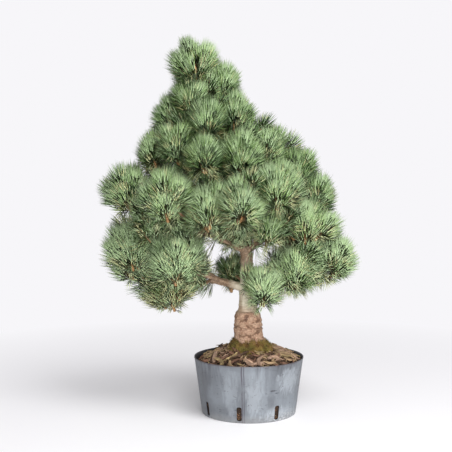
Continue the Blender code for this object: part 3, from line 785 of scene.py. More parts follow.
def pot_material(pot):
    """Weathered plastic: cloudy limescale, dark runs, a seam, fine scratches, and a dark inside
    that is painted shade.
    """
    s = new_material("pot_weathered")
    x, y, z = s.coordinates()
    angle = s.math("ARCTAN2", x, s.times(y, -1.0))
    cloud = s.mottle(s.place(), 17.0, 0.16, pot.plastic, pot.limescale)
    runs = s.mottle(s.place((1, 1, 0.07), (0.4, 0.1, 0)), 70.0, 0.18)
    wide_runs = s.mottle(s.place((1, 1, 0.12), (0.7, 0, 0)), 22.0, 0.2)
    body = s.mix(s.times(runs["Mask"], 0.34), cloud["Colour"], pot.plastic)
    body = s.mix(s.times(wide_runs["Mask"], 0.30), body, POT_RUN)
    drips = s.between(s.noise(s.place((1, 1, 0.05), (0.9, 0.4, 0)), 120.0), 0.54, 0.66)
    drips = s.times(drips, s.between(z, pot.height * 0.45, pot.height, 0.0, 0.55))
    body = s.mix(drips, body, pot.grime)
    brush = s.noise(s.place((1, 1, 0.35), (0.3, 0.2, 0)), 130.0, 4.0, Distortion=1.6)
    for (place, level), (half_angle, half_level), pale in POT_CLOUDS:
        a = s.math("DIVIDE", s.minus(angle, place), half_angle)
        b = s.math("DIVIDE", s.minus(z, level * MM), half_level * MM)
        off = s.plus(s.length(a, b), s.between(brush, 0.25, 0.75, -0.55, 0.55))
        tint = POT_CLOUD if pale > 0 else pot.grime
        body = s.stain(body, tint, off, 0.45, 1.15, abs(pale), 0.0)
    wander = s.noise(s.place(), 40.0)
    seam_place = s.plus(angle, s.between(wander, 0.0, 1.0, -0.012, 0.012))
    for place, width, depth in POT_SEAMS:
        off = s.math("ABSOLUTE", s.minus(seam_place, place))
        seam = s.between(off, width * 0.3, width, depth, 0.0)
        body = s.mix(s.times(seam, s.between(wander, 0.3, 0.5)), body, POT_SEAM)
    fine = s.stretch(s.place((0.3, 0.3, 1), (0.2, 0, 0.3)))
    scratch = s.between(s.noise(fine, 260.0, 2.0, Distortion=1.4), 0.655, 0.69)
    body = s.mix(s.times(scratch, 0.6), body, pot.grime)
    # A dark band with a reddish tint round the top of the wall: painted shadow of the rolled rim.
    body = s.stain(body, POT_RIM_SHADOW, z, pot.height - 3.0 * MM, pot.height - 0.4 * MM, 0.0, 0.72)
    splash = s.between(z, 0.0, 16 * MM, 0.55, 0.0)
    body = s.mix(s.times(splash, wander), body, POT_SPLASH)
    crust = s.times(s.between(z, 3 * MM, 20 * MM, 1.0, 0.0), s.between(angle, 0.1, 0.6))
    crust = s.times(crust, s.between(s.noise(s.place((1, 1, 2.5)), 170.0, 5.0), 0.46, 0.6))
    body = s.mix(s.times(crust, 0.75), body, POT_CRUST)
    # Painted shade: the inside of the wall is painted dark.
    wall_radius = s.between(z, 0.0, pot.height, pot.foot_radius, pot.rim_radius)
    start = s.between(z, 30 * MM, 60 * MM, pot.wall * 0.25, pot.wall * 0.5)
    depth = s.minus(s.minus(wall_radius, s.length(x, y)), start)
    body = s.stain(body, POT_INSIDE_SHADE, depth, 0.0, pot.wall * 0.3)
    height = s.minus(s.times(cloud["Mask"], 0.35), s.times(scratch, 0.4))
    return s.surface(body, s.between(cloud["Mask"], 0.0, 1.0, 0.40, 0.62), height, 0.35, 0.6 * MM)


def bark_material(bark):
    """Rough scaly rootstock below the graft line, pale smooth stem above, browner boughs."""
    s = new_material("bark_of_the_tree")
    x, y, z = s.coordinates()
    folds = s.between(s.noise(s.place((1, 1, 1.5)), 75.0, 5.0, Distortion=0.6), 0.38, 0.62)
    scale = s.plates(s.place((1, 1, 1.5)), 150.0, 0.1)
    crumb = s.noise(s.place(), 420.0, 4.0)
    root = s.mix(folds, bark.plate, bark.plate_pale)
    root = s.mix(s.times(scale["Tone"], 0.32), root, display(166, 120, 96))
    root = s.stain(root, bark.crack, folds, 0.0, 0.25, 0.62, 0.0)
    root = s.stain(root, bark.crack, scale["Mask"], 0.0, 1.0, 0.42, 0.0)
    root = s.stain(root, display(104, 74, 56), crumb, 0.34, 0.46, 0.55, 0.0)
    root = s.stain(root, display(206, 180, 158), crumb, 0.58, 0.70, 0.0, 0.5)
    to_knot = s.node("VectorMath", {0: s.place(), 1: tuple(KNOT)}, operation="DISTANCE")
    knot = s.plus(to_knot.outputs["Value"], s.between(crumb, 0.3, 0.7, -2 * MM, 2 * MM))
    knot_edge = (KNOT_RADIUS * 0.4, KNOT_RADIUS * 1.1)
    root = s.stain(root, display(70, 46, 36), knot, *knot_edge, 0.75, 0.0)
    waver = s.noise(s.place(), 60.0)
    # Painted shade along the fold that runs round the rootstock, where its skin also dips in.
    fold = s.math("ABSOLUTE", s.minus(z, CREASE_HEIGHT))
    fold = s.plus(fold, s.between(waver, 0.3, 0.7, -2.5 * MM, 2.5 * MM))
    root = s.stain(root, bark.crack, fold, 0.5 * MM, 2.2 * MM, 0.5, 0.0)
    streaks = s.mottle(s.place((1, 1, 0.2)), 95.0, 0.2, bark.stem, display(156, 140, 116))
    green_side = s.times(s.between(x, -14 * MM, 16 * MM, 0.1, 0.75),
                         s.between(s.noise(s.place((1, 1, 0.5)), 60.0), 0.3, 0.65))
    stem = s.mix(green_side, streaks["Colour"], bark.stem_shade)
    rings = s.between(s.noise(s.place((0.25, 0.25, 3.0)), 75.0), 0.56, 0.68)
    near_graft = s.between(z, GRAFT_HEIGHT, GRAFT_HEIGHT + 30 * MM, 0.85, 0.45)
    stem = s.mix(s.times(rings, near_graft), stem, display(118, 98, 76))
    tan = display(160, 126, 102)
    stem = s.stain(stem, tan, z, GRAFT_HEIGHT, GRAFT_HEIGHT + 16 * MM, 0.6, 0.0)
    wood = s.mottle(s.place((1, 1, 0.6)), 170.0, 0.2, bark.bough, display(106, 84, 64))
    bough = s.stain(wood["Colour"], display(184, 160, 132), crumb, 0.56, 0.7, 0.0, 0.65)
    flakes = s.plates(s.place((1, 1, 0.7)), 210.0, 0.14)
    bough = s.stain(bough, display(74, 54, 40), flakes["Mask"], 0.0, 1.0, 0.6, 0.0)
    level = s.plus(z, s.between(waver, 0.3, 0.7, -3 * MM, 3 * MM))
    off_axis = s.between(s.length(x, y), 20 * MM, 42 * MM)
    on_bough = s.math("MAXIMUM", off_axis, s.between(level, 0.245, 0.29))
    above = s.mix(on_bough, stem, bough)
    is_root = s.between(level, GRAFT_HEIGHT - 1.5 * MM, GRAFT_HEIGHT + 1.0 * MM, 1.0, 0.0)
    rough = s.plus(s.times(scale["Mask"], 0.5), s.times(crumb, 1.6))
    fine = s.plus(s.times(crumb, 0.5), s.times(rings, -0.12))
    shallow = s.plus(fine, s.times(s.times(wood["Mask"], on_bough), 0.5))
    height = s.plus(s.times(rough, is_root), s.times(shallow, s.minus(1.0, is_root)))
    roughness = s.between(is_root, 0.0, 1.0, 0.62, 0.9)
    return s.surface(s.mix(is_root, above, root), roughness, height, 0.7, 1.1 * MM)


def twig_material(name, first, second):
    """Young wood with fine scales and a soft change of colour."""
    s = new_material(name)
    tint = s.mottle(s.place(), 140.0, 0.2, first, second)
    scales = s.plates(s.place(), 520.0, 0.3)
    body = s.stain(tint["Colour"], display(96, 62, 40), scales["Mask"], 0.0, 1.0, 0.45, 0.0)
    roughness = s.between(tint["Mask"], 0.0, 1.0, 0.5, 0.75)
    return s.surface(body, roughness, scales["Mask"], 0.5, 0.3 * MM)


def needle_material(name, skin, needles):
    """A needle's skin: a papery foot, painted light and shade, a pale bloom that is partly wax and
    partly painted highlight, and yellowed tips.
    """
    s = new_material(name)
    tint = s.use(
        needle_group(), Place=s.place(), Along=s.attribute("along"), Tone=s.attribute("tone"),
        Skin=skin, Sheath=needles.sheath, Bloom=needles.bloom_and_highlight,
    )
    return s.surface(tint["Colour"], tint["Roughness"])


def chip_material(name, colour, rng):
    """Bark chip: dark and pale fibres along it, dark pits and a darker scaly outer face."""
    s = new_material(name)
    dark, dim = tuple(c * 0.36 for c in colour), tuple(c * 0.66 for c in colour)
    pale = tuple(min(1, c * 1.25) for c in colour)
    grain = s.attribute("grain", "Vector")
    fibre = s.mottle(s.stretch(grain, (0.1, 1, 1)), 300.0, 0.10, dark, pale)
    drift = s.mottle(s.place(offset=(rng.random(), 0, 0)), 42.0, 0.2, colour, dim)
    body = s.mix(0.68, drift["Colour"], fibre["Colour"])
    body = s.stain(body, dark, s.attribute("outer"), 0.3, 0.7, 0.0, 0.45)
    pits = s.noise(s.stretch(grain, (0.4, 1, 1)), 900.0)
    body = s.stain(body, display(60, 42, 30), pits, 0.62, 0.72, 0.0, 0.5)
    roughness = s.between(fibre["Mask"], 0.0, 1.0, 0.92, 0.7)
    return s.surface(body, roughness, s.plus(fibre["Mask"], pits), 0.6, 0.7 * MM)


def soil_material(colour):
    """Damp potting mix: dark crumbs with a few pale fibres among them."""
    s = new_material("potting_mix")
    crumbs = s.plates(s.place(), 230.0, 0.3)
    tint = s.mottle(s.place(), 110.0, 0.18, colour, display(84, 58, 40))
    body = s.stain(tint["Colour"], display(26, 19, 14), crumbs["Mask"], 0.0, 1.0, 0.8, 0.0)
    spark = s.times(s.between(crumbs["Tone"], 0.80, 0.92), crumbs["Mask"])
    body = s.mix(spark, body, display(150, 104, 70))
    roughness = s.between(tint["Mask"], 0.0, 1.0, 0.95, 0.8)
    return s.surface(body, roughness, crumbs["Mask"], 0.8, 1.2 * MM)


def moss_material(name, first, second, blades):
    """Moss in two greens; on its leaves the tips are paler and low tones darker."""
    s = new_material(name)
    body = s.mottle(s.place(), 85.0, 0.16, first, second)["Colour"]
    if blades:
        tip = s.between(s.attribute("along"), 0.1, 1.0, 0.0, 0.45)
        tone = s.attribute("tone")
        body = s.stain(body, tuple(c * 0.22 for c in second), tone, 0.0, 0.5, 0.85, 0.0)
        body = s.mix(s.times(tip, s.between(tone, 0.3, 0.9)), body, display(196, 178, 96))
    fine = s.mottle(s.place(), 900.0, 0.2)["Mask"]
    return s.surface(body, s.between(fine, 0.0, 1.0, 0.85, 1.0), fine, 0.6, 0.6 * MM)


# ------------------------------------------------------------------ the rule that limbs grow by


def trunk_path():
    """The trunk's knots and radii."""
    return [Vector((x, y, z)) * MM for z, x, y, _ in TRUNK], [row[3] * MM for row in TRUNK]


def on_trunk(height):
    """The point of the trunk's axis at a height."""
    for low, high in zip(TRUNK, TRUNK[1:]):
        if low[0] * MM <= height <= high[0] * MM:
            share = (height - low[0] * MM) / ((high[0] - low[0]) * MM)
            x, y = (low[k] * MM + share * (high[k] - low[k]) * MM for k in (1, 2))
            return Vector((x, y, height))
    return TRUNK_TIP.copy()


def on_path(path, share):
    """The point at a share of a bough's knots."""
    points, _ = path
    place = share * (len(points) - 1)
    i = min(int(place), len(points) - 2)
    return points[i].lerp(points[i + 1], place - i)


def bough_path(start, end, start_radius, end_radius, arch, knots=5):
    """Knots of a limb that leaves steeply and bends over by its arch."""
    middle = (start + end) / 2 + UP * arch
    points, radii = [], []
    for i in range(knots):
        t = i / (knots - 1)
        points.append(start * (1 - t) ** 2 + middle * (2 * t * (1 - t)) + end * t**2)
        radii.append(start_radius + (end_radius - start_radius) * t**0.8)
    return points, radii


def bough_paths(knots=5):
    """Every bough's path by name, and with more knots where it is to look smooth."""
    paths, fine = {}, {}
    for name, (carrier, where, x, y, z, foot, tip, arch) in BOUGHS.items():
        end = Vector((x, y, z)) * MM
        start = on_trunk(where * MM) if carrier == "trunk" else on_path(paths[carrier], where)
        paths[name] = bough_path(start, end, foot * MM, tip * MM, arch * MM)
        fine[name] = bough_path(start, end, foot * MM, tip * MM, arch * MM, knots)
    return paths, fine


class Mass:
    """One mass of foliage: where it stands, the space that it keeps to and its shoots."""

    def __init__(self, name, paths):
        x, y, z, rx, ry, rz, shoots = MASSES[name]
        self.name = name
        self.centre = Vector((x, y, z)) * MM
        self.half = Vector((rx, ry, rz)) * MM * MASS_FILL
        self.bulk = sum(self.half) / 3 / USUAL_HALF
        self.shoots = shoots + round(8 * max(0.0, self.bulk - 1))
        self.planes = []
        carrier = CARRIED_BY.get(name, "bough_" + name)
        outward = self.centre - on_trunk(self.centre.z)
        outward.z = 0
        outward.normalize()
        self.axis = (outward * 0.5 + UP * 0.85).normalized()
        self.hub = self.centre - self.axis * 0.42 * min(self.half)
        self.foot = paths[carrier][0][-1] if carrier in paths else on_trunk(carrier * MM)

    def reach_along(self, direction):
        """Half the mass's size along a direction."""
        return 1 / math.sqrt(sum((direction[k] / self.half[k]) ** 2 for k in range(3)))

    def fence(self, others):
        """Planes that part this mass's space from each other mass's, point and outward normal."""
        for other in others:
            apart = other.centre - self.centre
            direction = apart.normalized()
            mine, theirs = self.reach_along(direction), other.reach_along(direction)
            self.planes.append((self.centre + apart * mine / (mine + theirs), direction))


def distance_to_limb(point, limb):
    """From a point to a limb's surface, and the way straight off the limb."""
    best, way = 10.0, UP
    points, radii = limb
    for a, b, ra, rb in zip(points, points[1:], radii, radii[1:]):
        span = b - a
        t = clamp((point - a).dot(span) / max(span.length_squared, 1e-12))
        off = point - (a + span * t)
        found = off.length - (ra + (rb - ra) * t)
        if found < best:
            best, way = found, off.normalized()
    return best, way


def settle(point, planes, limbs, clearance):
    """Moves a point until it is clear of the fences and the limbs."""
    point = point.copy()
    for _ in range(8):
        for limb in limbs:
            away, way = distance_to_limb(point, limb)
            if away < clearance:
                point += way * (clearance - away)
        for place, normal in planes:
            over = (point - place).dot(normal) + clearance
            if over > 0:
                point -= normal * over
    return point


def shoot_places(mass, limbs, rng, count):
    """Tip and lean of each shoot of a mass: round its axis by the golden angle."""
    turn = mass.axis.to_track_quat("Z", "Y")
    first = rng.uniform(0, 2 * math.pi)
    tips = []
    for i in range(count):
        cosine = 1 - (1 - CROWN_COSINE) * (i + 0.35) / count
        sine = math.sqrt(1 - cosine * cosine)
        angle = first + i * GOLDEN_ANGLE
        out = turn @ Vector((sine * math.cos(angle), sine * math.sin(angle), cosine))
        reach = mass.reach_along(out)
        heart = mass.centre - mass.axis * HEART_DROP
        tips.append((heart + out * max(reach * TIP_LEAST, reach - TIP_DEPTH), out))
    places = []
    for tip, out in tips:
        tip = settle(tip, mass.planes, limbs, TIP_CLEARANCE)
        rise = 0.95 + (0.3 if out.z > 0 else 0.8) * out.z
        lean = Vector((out.x, out.y * 0.6, 0)) * rng.uniform(0.4, 0.8) + UP * rise
        places.append((tip, lean.normalized()))
    return places


class Crown:
    """Every limb, mass, twig and shoot of the tree, worked out once."""

    def __init__(self, finer_shoots=0):
        self.paths, self.fine_paths = bough_paths(knots=18)
        self.masses = [Mass(name, self.paths) for name in MASSES]
        for mass in self.masses:
            mass.fence([other for other in self.masses if other is not mass])
        self.wood = [trunk_path()] + list(self.paths.values())
        self.stems = [([m.foot, m.hub], [STEM_RADIUS, STEM_RADIUS]) for m in self.masses]
        self.centres = np.array([tuple(m.centre) for m in self.masses])
        self.halves = np.array([tuple(m.half) for m in self.masses])
        self.places = {}
        for number, mass in enumerate(self.masses):
            limbs = self.wood + self.stems[:number] + self.stems[number + 1:]
            rng = random.Random(SEED + number)
            count = mass.shoots + finer_shoots
            self.places[mass.name] = shoot_places(mass, limbs, rng, count)

    def limb_places(self):
        """Foot, tip and lean of the sparse shoots on the low boughs."""
        rng = random.Random(SEED + 400)
        places, turn = [], 0.0
        for path, _ in self.wood[1:]:
            left = LIMB_SHOOT_GAP
            for a, b in zip(path, path[1:]):
                span = b - a
                done = left
                while done < span.length:
                    foot = a + span * (done / span.length)
                    done += LIMB_SHOOT_GAP
                    turn += GOLDEN_ANGLE
                    side = span.normalized().orthogonal()
                    side.rotate(Matrix.Rotation(turn, 3, span.normalized()))
                    lean = (side + UP * 0.3 + span.normalized() * 0.4).normalized()
                    tip = foot + lean * rng.uniform(20, 36) * MM
                    deep = self.fullness(np.array([foot, tip])).min() > LIMB_SHOOT_DEPTH
                    if deep and foot.z < LIMB_SHOOT_TOP:
                        places.append((foot, tip, lean))
                left = done - span.length
        return places

    def gap_places(self):
        """Foot, tip and lean of shoots that fill the crown wherever no other tip is near."""
        low, high = (self.centres - self.halves).min(0), (self.centres + self.halves).max(0)
        points = np.random.default_rng(SEED + 401).uniform(low, high, (GAP_TRIALS, 3))
        behind = (points[:, 1] > 30 * MM) & ((points[:, 0] < 0) | (points[:, 2] < 0.5))
        least = np.where(behind, GAP_DEPTH * 0.6, GAP_DEPTH)
        points = points[self.fullness(points) > least]
        points = points[clear_of_wood(points, self, 6 * MM)]
        limbs = self.wood[1:] + self.stems
        taken = [tip for places in self.places.values() for tip, _ in places]
        places = []
        chosen = [Vector(tip) * MM for tip in FILL_TIPS]
        for tip in chosen + [Vector(point) for point in points]:
            if tip not in chosen and min((tip - other).length for other in taken) < GAP_SPACING:
                continue
            outward = tip - on_trunk(tip.z)
            outward.z = 0
            lean = (outward.normalized() * 0.6 + UP * 0.8).normalized()
            if self.fullness(np.array([tip + lean * 30 * MM]))[0] < GAP_DEPTH * 0.3:
                continue
            away, way = min((distance_to_limb(tip, limb) for limb in limbs), key=lambda f: f[0])
            taken.append(tip)
            places.append((tip - way * (away + 1 * MM), tip, lean))
        return places

    def surroundings(self, points, mass):
        """How deep points are in other masses than their own, and how high in their own."""
        near = (points - self.centres[mass]) / self.halves[mass]
        own = np.exp(-CROWN_SOFTNESS * (near * near).sum(1))
        rise = np.where(mass < 0, 0.0, near[:, 2])
        return self.fullness(points) - np.where(mass < 0, 0.35, own), rise

    def fullness(self, points):
        """How deep in the crown points are: each mass adds to it, and more near its middle."""
        total = np.zeros(len(points))
        cores = [(np.array(on_trunk(height * MM)), CORE_RADIUS) for height in CORE_HEIGHTS]
        for centre, half in [*zip(self.centres, self.halves), *cores]:
            near = (points - centre) / half
            total += np.exp(-CROWN_SOFTNESS * (near * near).sum(1))
        return total


def curve_through(start, control, end, knots):
    """Points of a plain curve that leaves start towards control and arrives at end."""
    t = np.linspace(0, 1, knots)[:, None]
    start, control, end = (np.array(p, float) for p in (start, control, end))
    return start * (1 - t) ** 2 + control * 2 * t * (1 - t) + end * t**2


def crooked(points, amount, key):
    """Points moved a little off their line, and not at its two ends."""
    points = np.array(points, float)
    for i in range(1, len(points) - 1):
        fade = min(i, len(points) - 1 - i, 3) / 3
        shift = noise.noise_vector(Vector(points[i]) * 26 + Vector((key, 0, 0)))
        points[i] += np.array(shift) * amount * fade
    return points


# ------------------------------------------------------------------ wood


def make_wood(crown, bark):
    """The trunk and its boughs as one skin, with plates on the rootstock."""
    points, radii = trunk_path()
    heights = [p.z for p in points]
    base, top = heights[0], heights[-1]
    z = np.concatenate([np.arange(base, BARE_TOP, 2 * MM), np.arange(BARE_TOP, top, 6 * MM)])
    x = np.interp(z, heights, [p.x for p in points])
    y = np.interp(z, heights, [p.y for p in points])
    tubes = [(np.stack([x, y, z], 1), np.interp(z, heights, radii), 40)]
    for number, (path, path_radii) in enumerate(crown.fine_paths.values()):
        tubes.append((crooked(path, 3.0 * MM, number), path_radii, 16))
    wood = joined_tubes("trunk_and_boughs", tubes)
    apply_modifier(wood, "REMESH", mode="VOXEL", voxel_size=bark.voxel)
    apply_modifier(wood, "SMOOTH", factor=0.6, iterations=5)
    shifts = [vert.normal * bark_relief(vert.co, bark) for vert in wood.data.vertices]
    for vert, shift in zip(wood.data.vertices, shifts):
        vert.co += shift
        vert.co.z = max(vert.co.z, base)
    wood.data.update()
    activate(wood)
    bpy.ops.object.shade_smooth()
    finish_piece(wood, "bark", bark_material(bark), nodes=("trunk", *BOUGHS))


def knot_hollow(place):
    """1 in the old knot on the front of the rootstock, 0 away from it."""
    off = (place - KNOT).length / KNOT_RADIUS
    return math.exp(-(off**2)) if place.y < 0 else 0.0


def crease(place):
    """1 in the fold that runs round the rootstock, 0 away from it."""
    level = CREASE_HEIGHT + 2.5 * MM * noise.noise(Vector((place.x, place.y, 0.5)) * 60)
    return math.exp(-(((place.z - level) / (1.6 * MM)) ** 2))


def bark_relief(place, bark):
    """How far the skin moves out: knobs, folds and plates below the graft, shallow above it."""
    off = math.hypot(place.x, place.y)
    under = GRAFT_HEIGHT + 1 * MM - place.z
    if under > 0 and off < ROOTSTOCK_REACH:
        bent = Vector((place.x, place.y, place.z * 1.5)) + noise.noise_vector(place * 60) * 7 * MM
        ridge = 1 - abs(noise.noise(bent * 62)) * 3.2
        gaps = noise.voronoi(bent * 70)[0]
        plate = min(1.0, (gaps[1] - gaps[0]) * 2.6)
        amount = bark.plate_relief * (0.36 * (plate - 0.7) - 0.42 * max(0.0, ridge))
        for size, scale in ((2.6, 52), (0.7, 170), (0.5, 380)):
            amount += size * MM * noise.noise(place * scale)
        amount -= 3.5 * MM * knot_hollow(place) + 1.6 * MM * crease(place)
        return amount * (0.35 + 0.65 * min(1.0, under / (7 * MM))) + 0.5 * MM
    fold = Vector((place.x * 90, place.y * 90, place.z * 55))
    wrinkle = Vector((place.x * 24, place.y * 24, place.z * 230))
    folded = 0.6 + 1.6 * max(0.0, 1 - (place.z - GRAFT_HEIGHT) / (24 * MM))
    old = max(clamp((off - 20 * MM) / (25 * MM)), clamp((place.z - 0.25) * 20))
    flat = Vector((place.x, place.y, place.z * 1.6))
    scales = noise.noise(place * 330) + 1.2 * noise.noise(flat * 150)
    amount = noise.noise(fold) + folded * noise.noise(wrinkle) + (0.3 + 0.9 * old) * scales
    return bark.stem_relief * amount


# ------------------------------------------------------------------ twigs, buds and needles

# A leafy shoot: its tip and direction, how far down it is leafy, its count of bundles, their
# length, the angles off it at its tip and foot, its age from 0 to 1 and its mass's number.
Shoot = namedtuple("Shoot", "tip axis leafy bundles length angles age mass", defaults=(-1,))


def unit(vectors):
    return vectors / np.maximum(np.linalg.norm(vectors, axis=-1, keepdims=True), 1e-12)


def across(axis):
    """Two directions at right angles to axis and to each other."""
    side = unit(np.cross(axis, (0.31, 0.9, 0.2)))
    return side, np.cross(axis, side)


def grow_twigs(crown, needles):
    """Paths of the old and the young twigs, buds, and every leafy shoot."""
    rng = np.random.default_rng(SEED)
    old, young, buds, shoots = [], [], [], []
    angles = (needles.tip_angle, needles.base_angle)
    old_angles = (math.radians(50), math.radians(95))
    for number, mass in enumerate(crown.masses):
        start, hub, axis = (np.array(v) for v in (mass.foot, mass.hub, mass.axis))
        control = hub - axis * min(np.linalg.norm(hub - start) * 0.45, 18 * MM)
        stem = crooked(curve_through(start, control, hub, 9), 2.5 * MM, 40 + number)
        old.append(tube(stem, STEM_WOOD))
        length = needles.length * float(np.clip(mass.bulk, 0.92, 1.03))
        for tip, lean in crown.places[mass.name]:
            tip, lean = np.array(tip), np.array(lean)
            leafy_foot = tip - lean * needles.brush
            spread = np.linalg.norm(leafy_foot - hub)
            turn = unit(axis * 0.6 + unit(leafy_foot - hub) * 0.8)
            twig = curve_through(hub, hub + turn * spread * 0.5, leafy_foot, 7)
            twig = crooked(twig, 1.5 * MM, rng.uniform(0, 50))
            old.append(tube(twig, TWIG_WOOD))
            young.append(tube(np.stack([leafy_foot, (leafy_foot + tip) / 2, tip]), SHOOT_WOOD))
            buds.append((tip, lean, rng.uniform(9, 13) * MM))
            leafy = needles.brush * 0.9
            shoots.append(Shoot(tip, lean, leafy, needles.bundles, length, angles, 0.0, number))
            back = unit(leafy_foot - twig[-3])
            old_leaves = (spread * 0.75, needles.old_bundles, needles.length * 0.86)
            shoots.append(Shoot(leafy_foot, back, *old_leaves, old_angles, 1.0, number))
    top, high = np.array(TRUNK_TIP), np.array(LEADER_TIP)
    axis = unit(high - top)
    young.append(tube(np.linspace(top - axis * 12 * MM, high, 6), LEADER_WOOD))
    buds.append((high, axis, 12 * MM))
    leafy = float(np.linalg.norm(high - top)) * 0.9
    steep = (math.radians(8), math.radians(60))
    leader_bundles = round(needles.bundles * 1.6)
    shoots.append(Shoot(high, axis, leafy, leader_bundles, needles.length * 0.84, steep, 0.0, 0))
    others = [(place, FILLING) for place in crown.gap_places()]
    others += [(place, HANGING) for place in crown.limb_places()]
    for places, (share, base_angle, age) in others:
        foot, tip, lean = (np.array(place) for place in places)
        leafy_foot = tip - lean * needles.brush * (1.0 if age < OLD_AGE else 0.6)
        middle = (foot + leafy_foot) / 2 - (0, 0, 4 * MM)
        twig = crooked(curve_through(foot, middle, leafy_foot, 5), 1.5 * MM, rng.uniform(0, 50))
        bare = leafy_foot + (tip - leafy_foot) * 0.6
        old.append(tube(np.concatenate([twig, [bare]]), SPRIG_WOOD))
        young.append(tube(np.stack([bare, tip]), SPRIG_TIP_WOOD))
        leaves = (needles.brush, round(needles.bundles * share), needles.length * 0.95)
        angles_here = (needles.tip_angle, math.radians(base_angle))
        shoots.append(Shoot(tip, lean, *leaves, angles_here, age))
    return old, young, buds, shoots


def bud_tubes(buds):
    """Pointed scaly buds: a spindle on each shoot's tip."""
    shares, widths = np.array(((0.0, 0.8), (0.25, 1.35), (0.6, 1.05), (0.9, 0.35))).T
    return [(tip + np.outer(shares, axis) * length, widths * length * 0.19, 6)
            for tip, axis, length in buds]


def shoot_bundles(shoot, crown, rng):
    """One shoot's bundles: foot, line, length, kind, droop, axis, light and mass."""
    count = shoot.bundles
    index = np.arange(count)
    share = (index + 0.5) / count
    side, other = across(shoot.axis)
    turn = index * GOLDEN_ANGLE + rng.uniform(0, 6.28) + rng.normal(0, 0.22, count)
    low, high = shoot.angles
    lean = low + (high - low) * share**0.8 + rng.normal(0, math.radians(4.5), count)
    around = np.outer(np.cos(turn), side) + np.outer(np.sin(turn), other)
    line = shoot.axis * np.cos(lean)[:, None] + around * np.sin(lean)[:, None]
    foot = shoot.tip - shoot.axis * (shoot.leafy * share)[:, None] + around * 1.2 * MM
    length = shoot.length * (0.9 + 0.12 * share) * rng.uniform(0.88, 1.08, count)
    kind = deal_colours(shoot, share, rng)
    droop = np.full(count, shoot.age) * rng.uniform(0.2, 0.5, count)
    # Painted light and shade: lighter towards the shoot's tip and painted shade towards its foot,
    # with a random spread. Then it changes by height and side, is lighter on hanging shoots, and
    # has painted shade on filling shoots and in shaded masses.
    light = 0.82 - 0.32 * share + rng.uniform(-0.12, 0.12, count) + rng.uniform(-0.2, 0.16)
    light += np.interp(shoot.tip[2], *LIGHT_UP) + np.interp(shoot.tip[0], *LIGHT_ACROSS)
    if shoot.age > OLD_AGE:
        light += 0.2
    elif shoot.age > 0.2:
        light -= 0.16
    name = crown.masses[shoot.mass].name if shoot.mass >= 0 else ""
    if name in IN_SHADE:
        light -= SHADE
    if name in OLD_MASSES:
        kind[rng.random(count) < OLD_SHARE] = KINDS.index("olive")
        light -= 0.1
    axis, mass = np.tile(shoot.axis, (count, 1)), np.full(count, shoot.mass)
    return foot, line, length, kind, droop, axis, light, mass


def grow_needles(shoots, crown):
    """Kinds of all bundles, and their feet, lines, lengths, droops, axes and light, as arrays."""
    rng = np.random.default_rng(SEED + 5)
    parts = zip(*(shoot_bundles(shoot, crown, rng) for shoot in shoots if shoot.bundles))
    foot, line, length, kind, droop, axis, light, mass = (np.concatenate(p) for p in parts)
    edge = math.exp(-CROWN_SOFTNESS * CROWN_SKIN**2) * rng.uniform(0.6, 1.1, len(foot))
    edge = np.where(droop > 0.2, edge * 0.5, edge)
    low, high = (np.array(corner) for corner in CAD_BOX)
    room = np.zeros(len(foot))
    for share in (1.0, 0.9, 0.8, 0.7, 0.6, 0.5):
        tip = foot + line * (length * share)[:, None]
        inside = crown.fullness(tip) > edge
        inside &= ((tip > low - SPRAY_MARGIN) & (tip < high + SPRAY_MARGIN)).all(1)
        room = np.where((room == 0) & inside, share, room)
    length = length * room
    middle = foot + line * (length * 0.6)[:, None]
    # Painted shade where a bundle lies deep in other masses and faces down, and painted light
    # towards the top of its own mass.
    depth, rise = crown.surroundings(middle, mass)
    high_up = np.interp(middle[:, 2], (0.3, 0.42), (0.0, 1.0))
    under = (1 - 0.6 * np.clip(line[:, 2] * 1.3, 0, 1)) * (0.4 + 0.6 * high_up)
    light -= np.interp(depth, *PAINTED_SHADE_INSIDE) * under * np.clip(1 - 2.4 * droop, 0, 1)
    light += np.interp(rise, *LIGHT_IN_MASS) * (0.5 + 0.5 * high_up)
    keep = (room > 0) & ~hides_leader(foot, line, length)
    for share in (0.5, 1.0):
        keep &= clear_of_wood(foot + line * length[:, None] * share, crown, 1.0 * MM)
    return kind[keep], [a[keep] for a in (foot, line, length, droop, axis, light)]


def hides_leader(foot, line, length):
    """Which bundles stand in front of the leader's stem, where needles part round it."""
    low, high = np.array(TRUNK_TIP), np.array(LEADER_TIP)
    hidden = np.zeros(len(foot), bool)
    for share in (0.1, 0.3, 0.5, 0.7, 0.9):
        place = foot + line * (length * share)[:, None]
        up = (place[:, 2] - low[2]) / (high[2] - low[2])
        stem = low + np.clip(up, 0, 1)[:, None] * (high - low)
        near = np.abs(place[:, 0] - stem[:, 0]) < LEADER_WIDTH
        hidden |= near & (place[:, 1] < stem[:, 1]) & (up > -0.1) & (up < 0.74)
    return hidden


KINDS = ("deep", "green", "glaucous", "fresh", "olive")
OLD_WEIGHTS = (0.14, 0.24, 0.08, 0.08, 0.46)
INNER_WEIGHTS = (0.36, 0.32, 0.12, 0.06, 0.14)
YOUNG_WEIGHTS = (0.14, 0.3, 0.22, 0.12, 0.04)
LEAD_CHANCES = (0.16, 0.42, 0.26, 0.16)  # of the kind that leads on a young shoot


